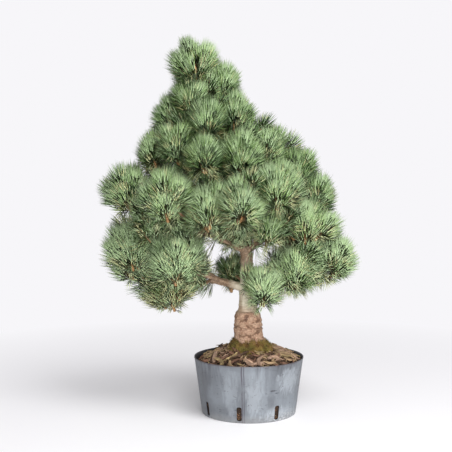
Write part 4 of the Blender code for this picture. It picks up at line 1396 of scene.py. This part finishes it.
def deal_colours(shoot, share, rng):
    """A colour for each bundle: one leads on a shoot, old and inner bundles are more olive, and
    inner ones get more of the deep green that is painted shade.
    """
    if shoot.age > OLD_AGE:
        weights = np.array(OLD_WEIGHTS)
    elif shoot.age > 0.2:
        weights = np.array(INNER_WEIGHTS)
    else:
        weights = np.array(YOUNG_WEIGHTS)
        weights[rng.choice(4, p=LEAD_CHANCES)] += 0.6
        weights /= weights.sum()
    drawn = rng.choice(5, size=len(share), p=weights / weights.sum())
    # Low on a shoot: old olive needles, or deep green as painted shade.
    low_down = (share > 0.74) & (rng.random(len(share)) < 0.45)
    drawn[low_down] = rng.choice((0, 4), size=int(low_down.sum()), p=(0.35, 0.65))
    return drawn


def clear_of_wood(points, crown, clearance):
    """Which points are outside the trunk and boughs."""
    clear = np.ones(len(points), bool)
    for path, radii in crown.wood:
        for a, b, ra, rb in zip(path, path[1:], radii, radii[1:]):
            a, b = np.array(a), np.array(b)
            span = b - a
            t = np.clip((points - a) @ span / (span @ span), 0, 1)
            off = np.linalg.norm(points - (a + t[:, None] * span), axis=1)
            clear &= off > ra + (rb - ra) * t + clearance
    return clear


def needle_arrays(bundles, needles, rng):
    """Points and faces of bundles of needles: three-sided, bent once and pointed at both ends."""
    each = needles.bundle
    here = len(bundles[0])
    count = here * each
    foot, line, length, droop, axis, tone = (np.repeat(a, each, 0) for a in bundles)
    side = unit(np.cross(line, unit(axis + np.array((0.13, 0.07, 0.21)))))
    other = np.cross(line, side)
    turn = np.repeat(rng.uniform(0, 6.28, here), each)
    turn += np.tile(np.arange(each), here) * 2 * math.pi / each + rng.normal(0, 0.2, count)
    off = np.cos(turn)[:, None] * side + np.sin(turn)[:, None] * other
    spread = needles.bundle_spread * rng.uniform(0.5, 1.6, count)
    way = unit(line * np.cos(spread)[:, None] + off * np.sin(spread)[:, None])
    outer = unit(off - way * (off * way).sum(1, keepdims=True))
    along = np.cross(way, outer)
    size = length * rng.uniform(0.88, 1.04, count)
    bend = axis * (0.22 * (1 - droop))[:, None] + np.array((0, 0, -0.35)) * droop[:, None]
    late = unit(way + bend + rng.normal(0, 0.03, (count, 3)))
    low = foot + off * 0.5 * MM
    middle = low + way * (size * NEEDLE_BEND)[:, None]
    tip = middle + late * (size * (1 - NEEDLE_BEND))[:, None]
    half = needles.width * 0.5 * rng.uniform(0.85, 1.1, count)[:, None]
    corners = (outer * 0.55 + along, outer * 0.55 - along, -outer * 1.05)
    points = np.stack([low] + [middle + c * half for c in corners] + [tip], 1).reshape(-1, 3)
    first = np.arange(count)[:, None, None] * 5
    tris = first + np.array(((1, 0, 2), (2, 1, 4), (2, 0, 3), (3, 0, 1), (3, 2, 4), (1, 3, 4)))
    slots = np.tile((0, 0, 1, 1, 1, 1), count)
    share = np.tile((0.0, NEEDLE_BEND, NEEDLE_BEND, NEEDLE_BEND, 1.0), count)
    # Each needle takes its bundle's painted light and shade as its tone, made darker or lighter at
    # random.
    tone = np.clip(tone + np.where(rng.random(count) < 0.56, -0.20, 0.28), 0, 1)
    return points, [tris.reshape(-1, 3)], {"along": share, "tone": np.repeat(tone, 5)}, slots


def make_needles(shoots, needles, crown):
    """Needles in pieces by colour, each under the limit of triangles."""
    rng = np.random.default_rng(SEED + 9)
    kind, bundles = grow_needles(shoots, crown)
    inner = needle_material("needle_inner_faces", needles.glaucous, needles)
    most = PIECE_TRIANGLES // (6 * needles.bundle)
    for number, name in enumerate(KINDS):
        mine = np.flatnonzero(kind == number)
        skin = needle_material("needle_" + name, getattr(needles, name), needles)
        for part, chosen in enumerate(np.array_split(mine, max(1, math.ceil(len(mine) / most)))):
            arrays = needle_arrays([a[chosen] for a in bundles], needles, rng)
            piece = object_from_arrays(f"needles_{name}_{part + 1}", *arrays)
            finish_piece(piece, "needles", skin, inner, nodes=MASSES)


def make_twigs(crown, bark, needles):
    """Old twigs, young shoots and buds. It returns the shoots for the needles."""
    old, young, buds, shoots = grow_twigs(crown, needles)
    for name, tubes, material, first, second, nodes in (
        ("twigs_old", old, "twig_bark", bark.bough, display(172, 128, 90), MASSES),
        ("shoots_young", young, "shoot_bark", bark.twig, display(184, 138, 86), ()),
        ("buds", bud_tubes(buds), "bud_scales", bark.bud, bark.twig, ()),
    ):
        piece = joined_tubes(name, tubes)
        activate(piece)
        bpy.ops.object.shade_smooth()
        finish_piece(piece, "bark", twig_material(material, first, second), nodes=nodes)
    return shoots


# ------------------------------------------------------------------ pot


def make_pot(pot):
    """The pot: a thin tapering wall with a rolled rim, a flat floor and drain slots."""
    deselect_all()
    height, radius = 0.0, pot.foot_radius - 1.0 * MM
    bpy.ops.mesh.primitive_circle_add(vertices=128, radius=radius)
    shell = bpy.context.object
    shell.name = "pot_shell"
    slope = (pot.rim_radius - pot.foot_radius) / pot.height
    rows = [(1.0 * MM, pot.foot_radius + slope * MM)]
    for share in (0.12, 0.3, 0.5, 0.7, 0.88):
        rows.append((pot.height * share, pot.foot_radius + slope * pot.height * share))
    for below, wider in ((3.4, -slope * 3.4), (2.6, 0.25), (0.5, 0.25), (0.0, -0.35)):
        rows.append((pot.height - below * MM, pot.rim_radius + wider * MM))
    bpy.ops.object.mode_set(mode="EDIT")
    bpy.ops.mesh.select_all(action="SELECT")
    for new_height, new_radius in rows:
        bpy.ops.mesh.extrude_region_move(
            TRANSFORM_OT_translate={"value": (0, 0, new_height - height)}
        )
        grow = new_radius / radius
        bpy.ops.transform.resize(value=(grow, grow, 1), center_override=(0, 0, new_height))
        height, radius = new_height, new_radius
    select_edges(shell, lambda middle, way: middle.z < 0.1 * MM)
    bpy.ops.mesh.edge_face_add()
    bpy.ops.mesh.inset(thickness=6 * MM)
    faces_outwards()
    apply_modifier(shell, "SOLIDIFY", thickness=pot.wall, offset=-1.0)
    for vert in shell.data.vertices:
        if vert.co.z > 2 * MM:
            angle = math.atan2(vert.co.y, vert.co.x)
            warp = 0.5 * MM * math.sin(2 * angle + 0.6) + 0.3 * MM * math.sin(5 * angle)
            out = Vector((vert.co.x, vert.co.y, 0)).normalized()
            vert.co += out * (warp - 0.5 * MM) * min(1.0, vert.co.z / pot.height)
    cutters = [slot_cutter(pot, k) for k in range(pot.slots)]
    activate(cutters[0])
    for cutter in cutters:
        cutter.select_set(True)
    bpy.ops.object.join()
    cutter = bpy.context.object
    apply_modifier(shell, "BOOLEAN", object=cutter, operation="DIFFERENCE", solver="EXACT")
    bpy.data.objects.remove(cutter)
    edge = {"width": 0.3 * MM, "segments": 1, "limit_method": "ANGLE"}
    apply_modifier(shell, "BEVEL", angle_limit=math.radians(50), **edge)
    activate(shell)
    bpy.ops.object.shade_smooth_by_angle(angle=math.radians(38))
    finish_piece(shell, "pot_plastic", pot_material(pot), nodes=("pot",))


def slot_cutter(pot, number):
    """One upright cutter with rounded corners through the wall, a little crooked."""
    angle = pot.slot_first + number * 2 * math.pi / pot.slots
    middle = pot.slot_sill + pot.slot_height / 2
    deselect_all()
    bpy.ops.mesh.primitive_cube_add(size=1, location=(pot.foot_radius, 0, middle))
    cutter = bpy.context.object
    rng = random.Random(SEED + number)
    width = pot.slot_width * rng.uniform(0.9, 1.06)
    cutter.scale = (24 * MM, width, pot.slot_height * rng.uniform(0.97, 1.03))
    bpy.ops.object.transform_apply(location=True, rotation=False, scale=True)
    bpy.ops.object.mode_set(mode="EDIT")
    select_edges(cutter, lambda middle, way: abs(way.x) > 0.9)
    bpy.ops.mesh.bevel(offset=width * 0.36, segments=5, affect="EDGES")
    faces_outwards()
    cutter.data.transform(Matrix.Rotation(angle, 4, "Z"))
    return cutter


# ------------------------------------------------------------------ mulch and moss


def inner_radius(pot, height):
    """The pot's inside radius at a height."""
    share = clamp(height / pot.height)
    return pot.foot_radius + share * (pot.rim_radius - pot.foot_radius) - pot.wall - 1.0 * MM


def mound_height(radius, angle):
    """The mulch's surface: level at the trunk, lower at the wall, fuller at the right."""
    share = clamp((radius - MOUND_LEVEL) / (MOUND_EDGE - MOUND_LEVEL))
    left, right = MOUND_AT_WALL
    at_wall = left + (right - left) * (0.5 + 0.5 * math.cos(angle + 0.35))
    return MOUND_TOP + (at_wall - MOUND_TOP) * share * (0.55 + 0.45 * share)


def make_mound(pot, mulch):
    """The filling of the pot, seen between the chips and in the drain slots."""
    angles = np.linspace(0, 2 * math.pi, 120, endpoint=False)
    heights = [SOIL_LOW.z] + [h * MM for h in range(8, 92, 4)]
    profile = [(0.0, SOIL_LOW.z)] + [(inner_radius(pot, h) - 0.8 * MM, h) for h in heights]
    verts = [tuple(polar(radius, a, height)) for radius, height in profile for a in angles]
    for radius in (96, 88, 78, 66, 54, 44, 30, 12, 0):
        radius = min(radius * MM, inner_radius(pot, 92 * MM) - 0.8 * MM)
        for a in angles:
            place = polar(radius, a, mound_height(radius, a) - 3 * MM)
            place.z += 2.2 * MM * noise.noise(place * 90)
            verts.append(tuple(place))
    quads = ring_quads(len(verts) // len(angles), len(angles))
    mound = object_from_arrays("potting_mix_mound", np.array(verts), [quads])
    activate(mound)
    bpy.ops.object.mode_set(mode="EDIT")
    faces_outwards(weld=0.01 * MM)
    bpy.ops.object.shade_smooth()
    finish_piece(mound, "bark_mulch", soil_material(mulch.soil), nodes=("soil",))


def model_chip(mulch, number):
    """One bark chip, modelled by hand tools: a bar cut across, tapered, curled and chipped."""
    rng = random.Random(SEED * 31 + number)
    deselect_all()
    bpy.ops.mesh.primitive_cube_add(size=1)
    chip = bpy.context.object
    chip.scale = (mulch.chip_length, mulch.chip_width, mulch.chip_thickness)
    bpy.ops.object.transform_apply(location=False, rotation=False, scale=True)
    bpy.ops.object.mode_set(mode="EDIT")
    select_edges(chip, lambda middle, way: abs(way.x) > 0.9)
    bpy.ops.mesh.subdivide(number_cuts=6)
    select_edges(chip, lambda middle, way: abs(way.y) > 0.9)
    bpy.ops.mesh.subdivide(number_cuts=3)
    bpy.ops.object.mode_set(mode="OBJECT")
    curl = rng.choice((-1.0, 0.6)) * rng.uniform(0.4, 1.5)
    roll = rng.uniform(0.5, 1.5)
    taper = (rng.uniform(0.35, 0.9), rng.uniform(0.1, 0.7))
    skew = rng.choice((-1.0, 1.0)) * rng.uniform(0.2, 1.3)
    twist = rng.uniform(-1.3, 1.3)
    for vert in chip.data.vertices:
        along = vert.co.x / mulch.chip_length
        over = vert.co.y / mulch.chip_width
        end = taper[0] if along > 0 else taper[1]
        narrow = 1 - end * abs(2 * along) ** 1.8
        y = vert.co.y * narrow + skew * mulch.chip_width * (2 * along) ** 2
        thick = (1 - 0.55 * abs(2 * along) ** 2) * (1 - 2.2 * over * over)
        z = vert.co.z * thick - roll * mulch.chip_width * (over * narrow) ** 2
        turn = twist * along
        vert.co.y = y * math.cos(turn) - z * math.sin(turn)
        vert.co.z = y * math.sin(turn) + z * math.cos(turn)
        vert.co.z += curl * mulch.chip_length * 0.5 * along * along
        jitter = noise.noise_vector(vert.co * 300 + Vector((number * 3.1, 0, 0)))
        vert.co += Vector((jitter.x * 1.6, jitter.y * 0.9, jitter.z * 0.7)) * MM
    points = np.array([tuple(vert.co) for vert in chip.data.vertices])
    faces = np.array([list(face.vertices) for face in chip.data.polygons])
    bpy.data.objects.remove(chip)
    return points, faces


def place_chips(pot, mulch, shapes):
    """Shape, place and length of each chip: (shape, matrix, is long), on the mound and in slots."""
    rng = random.Random(SEED + 77)
    placed = []
    for number in range(mulch.crumbs + mulch.chips):
        long = number < mulch.chips
        share = number + 0.5 if long else number - mulch.chips + 0.5
        share /= mulch.chips if long else mulch.crumbs
        angle = number * GOLDEN_ANGLE + rng.uniform(-0.1, 0.1)
        inner = moss_edge(angle) / MM - (4 if long else 3)
        radius = math.sqrt(inner**2 + share * (CHIP_REACH**2 - inner**2)) * MM
        grow = rng.choice((0.55, 0.7, 0.8, 0.95, 1.15) if long else (0.24, 0.32, 0.4, 0.5))
        if radius > 84 * MM:
            grow = min(grow, 0.75)
        layer = (rng.uniform(1.5, 6.5) if long else rng.uniform(-1.5, 3.5)) * MM
        height = mound_height(radius, angle)
        slope = math.atan2(mound_height(radius + 4 * MM, angle) - height, 4 * MM)
        turn = Matrix.Rotation(angle, 4, "Z") @ Matrix.Rotation(-slope, 4, "Y")
        spin = Matrix.Rotation(rng.uniform(0, 2 * math.pi), 4, "Z")
        lift = rng.gauss(0, 0.13 if long else 0.3)
        tilt = Matrix.Rotation(lift, 4, "Y") @ Matrix.Rotation(rng.gauss(0, 0.6), 4, "X")
        flip = Matrix.Rotation(math.pi if rng.random() < 0.35 else 0.0, 4, "X")
        place = Matrix.Translation(polar(radius, angle, height + layer))
        matrix = place @ turn @ spin @ tilt @ flip @ Matrix.Scale(grow, 4)
        placed.append((rng.randrange(len(shapes)), matrix, long))
    upright = Matrix.Rotation(math.pi / 2, 4, "Y")
    for slot in range(pot.slots):
        middle = pot.slot_first + slot * 2 * math.pi / pot.slots
        for _ in range(SLOT_CHIPS):
            angle = middle + rng.uniform(-0.05, 0.05)
            height = pot.slot_sill + rng.uniform(0.05, 0.95) * pot.slot_height
            place = Matrix.Translation(polar(inner_radius(pot, height) - 1.6 * MM, angle, height))
            turn = Matrix.Rotation(angle, 4, "Z") @ upright
            spin = Matrix.Rotation(rng.uniform(0, 2 * math.pi), 4, "Z")
            matrix = place @ turn @ spin @ Matrix.Scale(rng.uniform(0.16, 0.3), 4)
            placed.append((rng.randrange(len(shapes)), matrix, True))
    return placed


CHIP_TINTS = ("tan", "ochre", "russet", "rose", "umber")
LONG_WEIGHTS = (0.34, 0.18, 0.14, 0.28, 0.06)
CRUMB_WEIGHTS = (0.10, 0.06, 0.26, 0.08, 0.50)


def make_chips(pot, mulch):
    """Bark chips, copied from a few modelled ones and joined by colour."""
    shapes = [model_chip(mulch, number) for number in range(CHIP_SHAPES)]
    placed = place_chips(pot, mulch, shapes)
    rng = random.Random(SEED + 3)
    chosen = [rng.choices(CHIP_TINTS, LONG_WEIGHTS if long else CRUMB_WEIGHTS)[0]
              for _, _, long in placed]
    for tint in CHIP_TINTS:
        verts, quads, grain, outer, count = [], [], [], [], 0
        for (shape, matrix, _), mine in zip(placed, chosen):
            if mine != tint:
                continue
            points, faces = shapes[shape]
            turn = np.array(matrix)
            there = points @ turn[:3, :3].T + turn[:3, 3]
            away = np.hypot(there[:, 0], there[:, 1])
            around = np.arctan2(there[:, 1], there[:, 0])
            top = np.array([mound_height(r, a) for r, a in zip(away, around)]) + CHIP_RISE
            there[:, 2] -= np.maximum(0.0, there[:, 2] - top) * 0.7
            most = np.array([inner_radius(pot, h) for h in there[:, 2]]) - 0.3 * MM
            there[:, :2] *= np.minimum(1.0, most / np.maximum(away, 1e-9))[:, None]
            verts.append(there)
            quads.append(faces + count)
            grain.append(points + np.array((rng.random(), rng.random(), rng.random())))
            outer.append((points[:, 2] > np.median(points[:, 2])).astype(float))
            count += len(points)
        piece = object_from_arrays(
            "bark_chips_" + tint, np.concatenate(verts), [np.concatenate(quads)],
            {"grain": np.concatenate(grain), "outer": np.concatenate(outer)},
        )
        activate(piece)
        bpy.ops.object.shade_smooth_by_angle(angle=math.radians(35))
        skin = chip_material("bark_chip_" + tint, tuple(getattr(mulch, tint)), rng)
        finish_piece(piece, "bark_mulch", skin)


def moss_edge(angle):
    """How far the moss reaches from the trunk: widest in front and to the right."""
    wide = 0.5 + 0.5 * math.cos(angle + 1.1)
    return (39 + 9.5 * wide + 1.3 * math.sin(3 * angle + 1) + 0.8 * math.sin(7 * angle)) * MM


def moss_surface(radius, angle):
    """The moss cushion's top, round the trunk's foot."""
    share = clamp((radius - MOSS_ROOT) / (moss_edge(angle) - MOSS_ROOT))
    ground = mound_height(radius, angle) - 1.5 * MM
    lumps = noise.noise(polar(radius, angle, 0.3) * 70)
    tufts = noise.noise(polar(radius, angle, 0.9) * 170)
    bumps = (4.2 * lumps + 1.8 * tufts) * MM * (1 - share * 0.5)
    return ground + (MOSS_CREST - ground) * (1 - share**1.4) + bumps - 2.0 * MM


def make_moss(moss):
    """A felt-like cushion with short leaves of moss all over it."""
    angles = np.linspace(0, 2 * math.pi, 96, endpoint=False)
    rings = []
    for radius in np.array((24, 27, 30, 33, 36, 39, 42, 45, 48, 50)) * MM:
        tops = [max(mound_height(radius, a) - 2.5 * MM, moss_surface(radius, a)) for a in angles]
        rings.append(np.array([tuple(polar(radius, a, top)) for a, top in zip(angles, tops)]))
    rings.append(rings[-1] - (0, 0, 4 * MM))
    rings.append(rings[0] * (1, 1, 0) + (0, 0, SOIL_HIGH.z - 2 * MM))
    quads = ring_quads(len(rings), len(angles), closed=True)
    cushion = object_from_arrays("moss_cushion", np.concatenate(rings), [quads])
    activate(cushion)
    bpy.ops.object.mode_set(mode="EDIT")
    faces_outwards()
    bpy.ops.object.shade_smooth()
    felt = moss_material("moss_felt", moss.shade, moss.dry, False)
    finish_piece(cushion, "moss", felt, nodes=("moss",))
    make_moss_blades(moss)


def make_moss_blades(moss):
    """Short three-sided leaves that stand on the cushion, thinning to its edge."""
    rng = random.Random(SEED + 21)
    points, tone = [], []
    half_width = 0.5 * MM
    for _ in range(moss.blades):
        radius = math.sqrt(rng.uniform(MOSS_INNER**2, MOSS_OUTER**2)) * MM
        angle = rng.uniform(0, 2 * math.pi)
        top = moss_surface(radius, angle)
        if top < mound_height(radius, angle) - 1.0 * MM:
            continue
        foot = polar(radius, angle, top - 0.5 * MM)
        lean = polar(1.0, angle, 0) * rng.uniform(0.0, 0.8)
        way = (UP + lean + Vector((rng.gauss(0, 0.25), rng.gauss(0, 0.25), 0))).normalized()
        clump = noise.noise(Vector((foot.x, foot.y, 0.7)) * 120)
        length = moss.blade_length * rng.uniform(0.4, 1.0) * (1 + 1.1 * clump)
        side = way.orthogonal().normalized()
        side.rotate(Matrix.Rotation(rng.uniform(0, 6.28), 3, way))
        other = way.cross(side)
        for turn in (0.0, 2.1, 4.2):
            points.append(foot + (side * math.cos(turn) + other * math.sin(turn)) * half_width)
        points.append(foot + way * length)
        tone += [clamp(rng.gauss(0.5 + 0.9 * clump, 0.25))] * 4
    count = len(points) // 4
    corners = np.array(((0, 1, 3), (1, 2, 3), (2, 0, 3), (0, 2, 1)))
    tris = np.arange(count)[:, None, None] * 4 + corners
    blades = object_from_arrays(
        "moss_leaves", np.array([tuple(p) for p in points]), [tris.reshape(-1, 3)],
        {"along": np.tile((0.0, 0.0, 0.0, 1.0), count), "tone": np.array(tone)},
    )
    finish_piece(blades, "moss", moss_material("moss_leaf", moss.green, moss.dry, True))


# ------------------------------------------------------------------ stage

FLOOR_RADIUS = 12.0
KEY_LIGHT = ((0.75, -1.05, 2.1), (-0.02, 0.0, 0.35), 1.1)  # place, target, width
FILL_LIGHT = ((0.25, -2.6, 0.62), (-0.05, 0.0, 0.3), 1.2)
CAMERA_ASIDE = -0.043  # how far left of the pot's axis the camera stands
SENSOR_WIDTH = 36.0
FAR_CLIP = 60.0


def make_stage(stage):
    """A plain pale floor that fades into the backdrop, soft lights and the camera."""
    scene = bpy.context.scene
    scene.view_settings.view_transform = "Standard"
    deselect_all()
    bpy.ops.mesh.primitive_circle_add(vertices=96, radius=FLOOR_RADIUS, fill_type="NGON")
    floor = bpy.context.object
    floor.name = "floor"
    bpy.ops.object.mode_set(mode="EDIT")
    bpy.ops.mesh.select_all(action="SELECT")
    bpy.ops.mesh.inset(thickness=FLOOR_RADIUS / 2)
    bpy.ops.object.mode_set(mode="OBJECT")
    floor.data.materials.append(floor_material(stage))
    world = bpy.data.worlds.new("studio")
    scene.world = world
    world.use_nodes = True
    s = Shading(world.node_tree)
    sky = world.node_tree.nodes["Background"]
    s.feed(sky.inputs["Color"], stage.backdrop)
    seen = s.node("LightPath").outputs["Is Camera Ray"]
    s.feed(sky.inputs["Strength"], s.between(seen, 0.0, 1.0, stage.ambient, 1.0))
    add_area_light("key", *KEY_LIGHT, stage.key)
    add_area_light("fill", *FILL_LIGHT, stage.fill)
    bpy.ops.object.camera_add(
        location=(CAMERA_ASIDE, -stage.distance, stage.height),
        rotation=(math.pi / 2 - stage.pitch, 0, 0),
    )
    camera = bpy.context.object
    camera.name = "camera_front"
    camera.data.lens = stage.focal_length
    camera.data.sensor_width = SENSOR_WIDTH
    camera.data.clip_end = FAR_CLIP
    scene.camera = camera


def add_area_light(name, place, target, size, power):
    """A square soft light turned towards a target."""
    way = Vector(target) - Vector(place)
    bpy.ops.object.light_add(
        type="AREA", location=place, rotation=way.to_track_quat("-Z", "Y").to_euler()
    )
    light = bpy.context.object
    light.name = name
    light.data.size = size
    light.data.energy = power


def floor_material(stage):
    """A plain floor that fades into the backdrop away from the plant."""
    s = new_material("floor_plain")
    shader = s.tree.nodes["Principled BSDF"]
    s.feed(shader.inputs["Base Color"], stage.floor)
    s.feed(shader.inputs["Roughness"], 0.7)
    x, y, _ = s.coordinates()
    fade = s.between(s.length(x, y), 0.2, 1.1)
    far = s.node("Emission", {"Color": stage.backdrop, "Strength": 1.0}).outputs[0]
    blend = s.node("MixShader", {0: fade, 1: shader.outputs[0], 2: far}).outputs[0]
    s.feed(s.tree.nodes["Material Output"].inputs["Surface"], blend)
    return s.material


# ------------------------------------------------------------------ operators and panel


class PINE_OT_pot(Operator):
    """Model the nursery pot with its drain slots"""

    bl_idname = "pine.pot"
    bl_label = "Pot"

    def execute(self, context):
        make_pot(context.scene.pine_pot)
        return {"FINISHED"}


class PINE_OT_mulch(Operator):
    """Fill the pot with soil and cover it with bark chips"""

    bl_idname = "pine.mulch"
    bl_label = "Mulch"

    def execute(self, context):
        make_mound(context.scene.pine_pot, context.scene.pine_mulch)
        make_chips(context.scene.pine_pot, context.scene.pine_mulch)
        return {"FINISHED"}


class PINE_OT_moss(Operator):
    """Lay moss round the trunk's foot"""

    bl_idname = "pine.moss"
    bl_label = "Moss"

    def execute(self, context):
        make_moss(context.scene.pine_moss)
        return {"FINISHED"}


class PINE_OT_wood(Operator):
    """Grow the trunk and the boughs, with their bark"""

    bl_idname = "pine.wood"
    bl_label = "Trunk and boughs"

    def execute(self, context):
        make_wood(Crown(), context.scene.pine_bark)
        return {"FINISHED"}


class PINE_OT_foliage(Operator):
    """Grow the twigs, the buds and the needles of every mass"""

    bl_idname = "pine.foliage"
    bl_label = "Twigs and needles"

    def execute(self, context):
        crown = Crown(context.scene.pine_needles.finer_shoots)
        shoots = make_twigs(crown, context.scene.pine_bark, context.scene.pine_needles)
        make_needles(shoots, context.scene.pine_needles, crown)
        return {"FINISHED"}


class PINE_OT_stage(Operator):
    """Set up the floor, the lights and the camera"""

    bl_idname = "pine.stage"
    bl_label = "Stage"

    def execute(self, context):
        make_stage(context.scene.pine_stage)
        return {"FINISHED"}


class PINE_PT_sidebar(Panel):
    """The plant's settings and the steps that build it"""

    bl_idname = "PINE_PT_sidebar"
    bl_label = "White pine"
    bl_space_type = "VIEW_3D"
    bl_region_type = "UI"
    bl_category = "White pine"

    def draw(self, context):
        for settings, steps in STEPS:
            box = self.layout.box()
            group = getattr(context.scene, settings)
            for label in group.__annotations__:
                box.prop(group, label)
            for step in steps:
                box.operator(step)


SETTINGS = {
    "pine_pot": PotSettings,
    "pine_mulch": MulchSettings,
    "pine_moss": MossSettings,
    "pine_bark": BarkSettings,
    "pine_needles": NeedleSettings,
    "pine_stage": StageSettings,
}

STEPS = (
    ("pine_pot", ("pine.pot",)),
    ("pine_mulch", ("pine.mulch",)),
    ("pine_moss", ("pine.moss",)),
    ("pine_bark", ("pine.wood",)),
    ("pine_needles", ("pine.foliage",)),
    ("pine_stage", ("pine.stage",)),
)

OPERATORS = (PINE_OT_pot, PINE_OT_mulch, PINE_OT_moss, PINE_OT_wood, PINE_OT_foliage, PINE_OT_stage)


def register():
    for made in (*SETTINGS.values(), *OPERATORS, PINE_PT_sidebar):
        bpy.utils.register_class(made)
    for name, settings in SETTINGS.items():
        setattr(bpy.types.Scene, name, PointerProperty(type=settings))


def unregister():
    for name in SETTINGS:
        delattr(bpy.types.Scene, name)
    for made in reversed((*SETTINGS.values(), *OPERATORS, PINE_PT_sidebar)):
        bpy.utils.unregister_class(made)


def main():
    register()
    bpy.ops.pine.pot()
    bpy.ops.pine.mulch()
    bpy.ops.pine.moss()
    bpy.ops.pine.wood()
    bpy.ops.pine.foliage()
    bpy.ops.pine.stage()


if __name__ == "__main__":
    main()
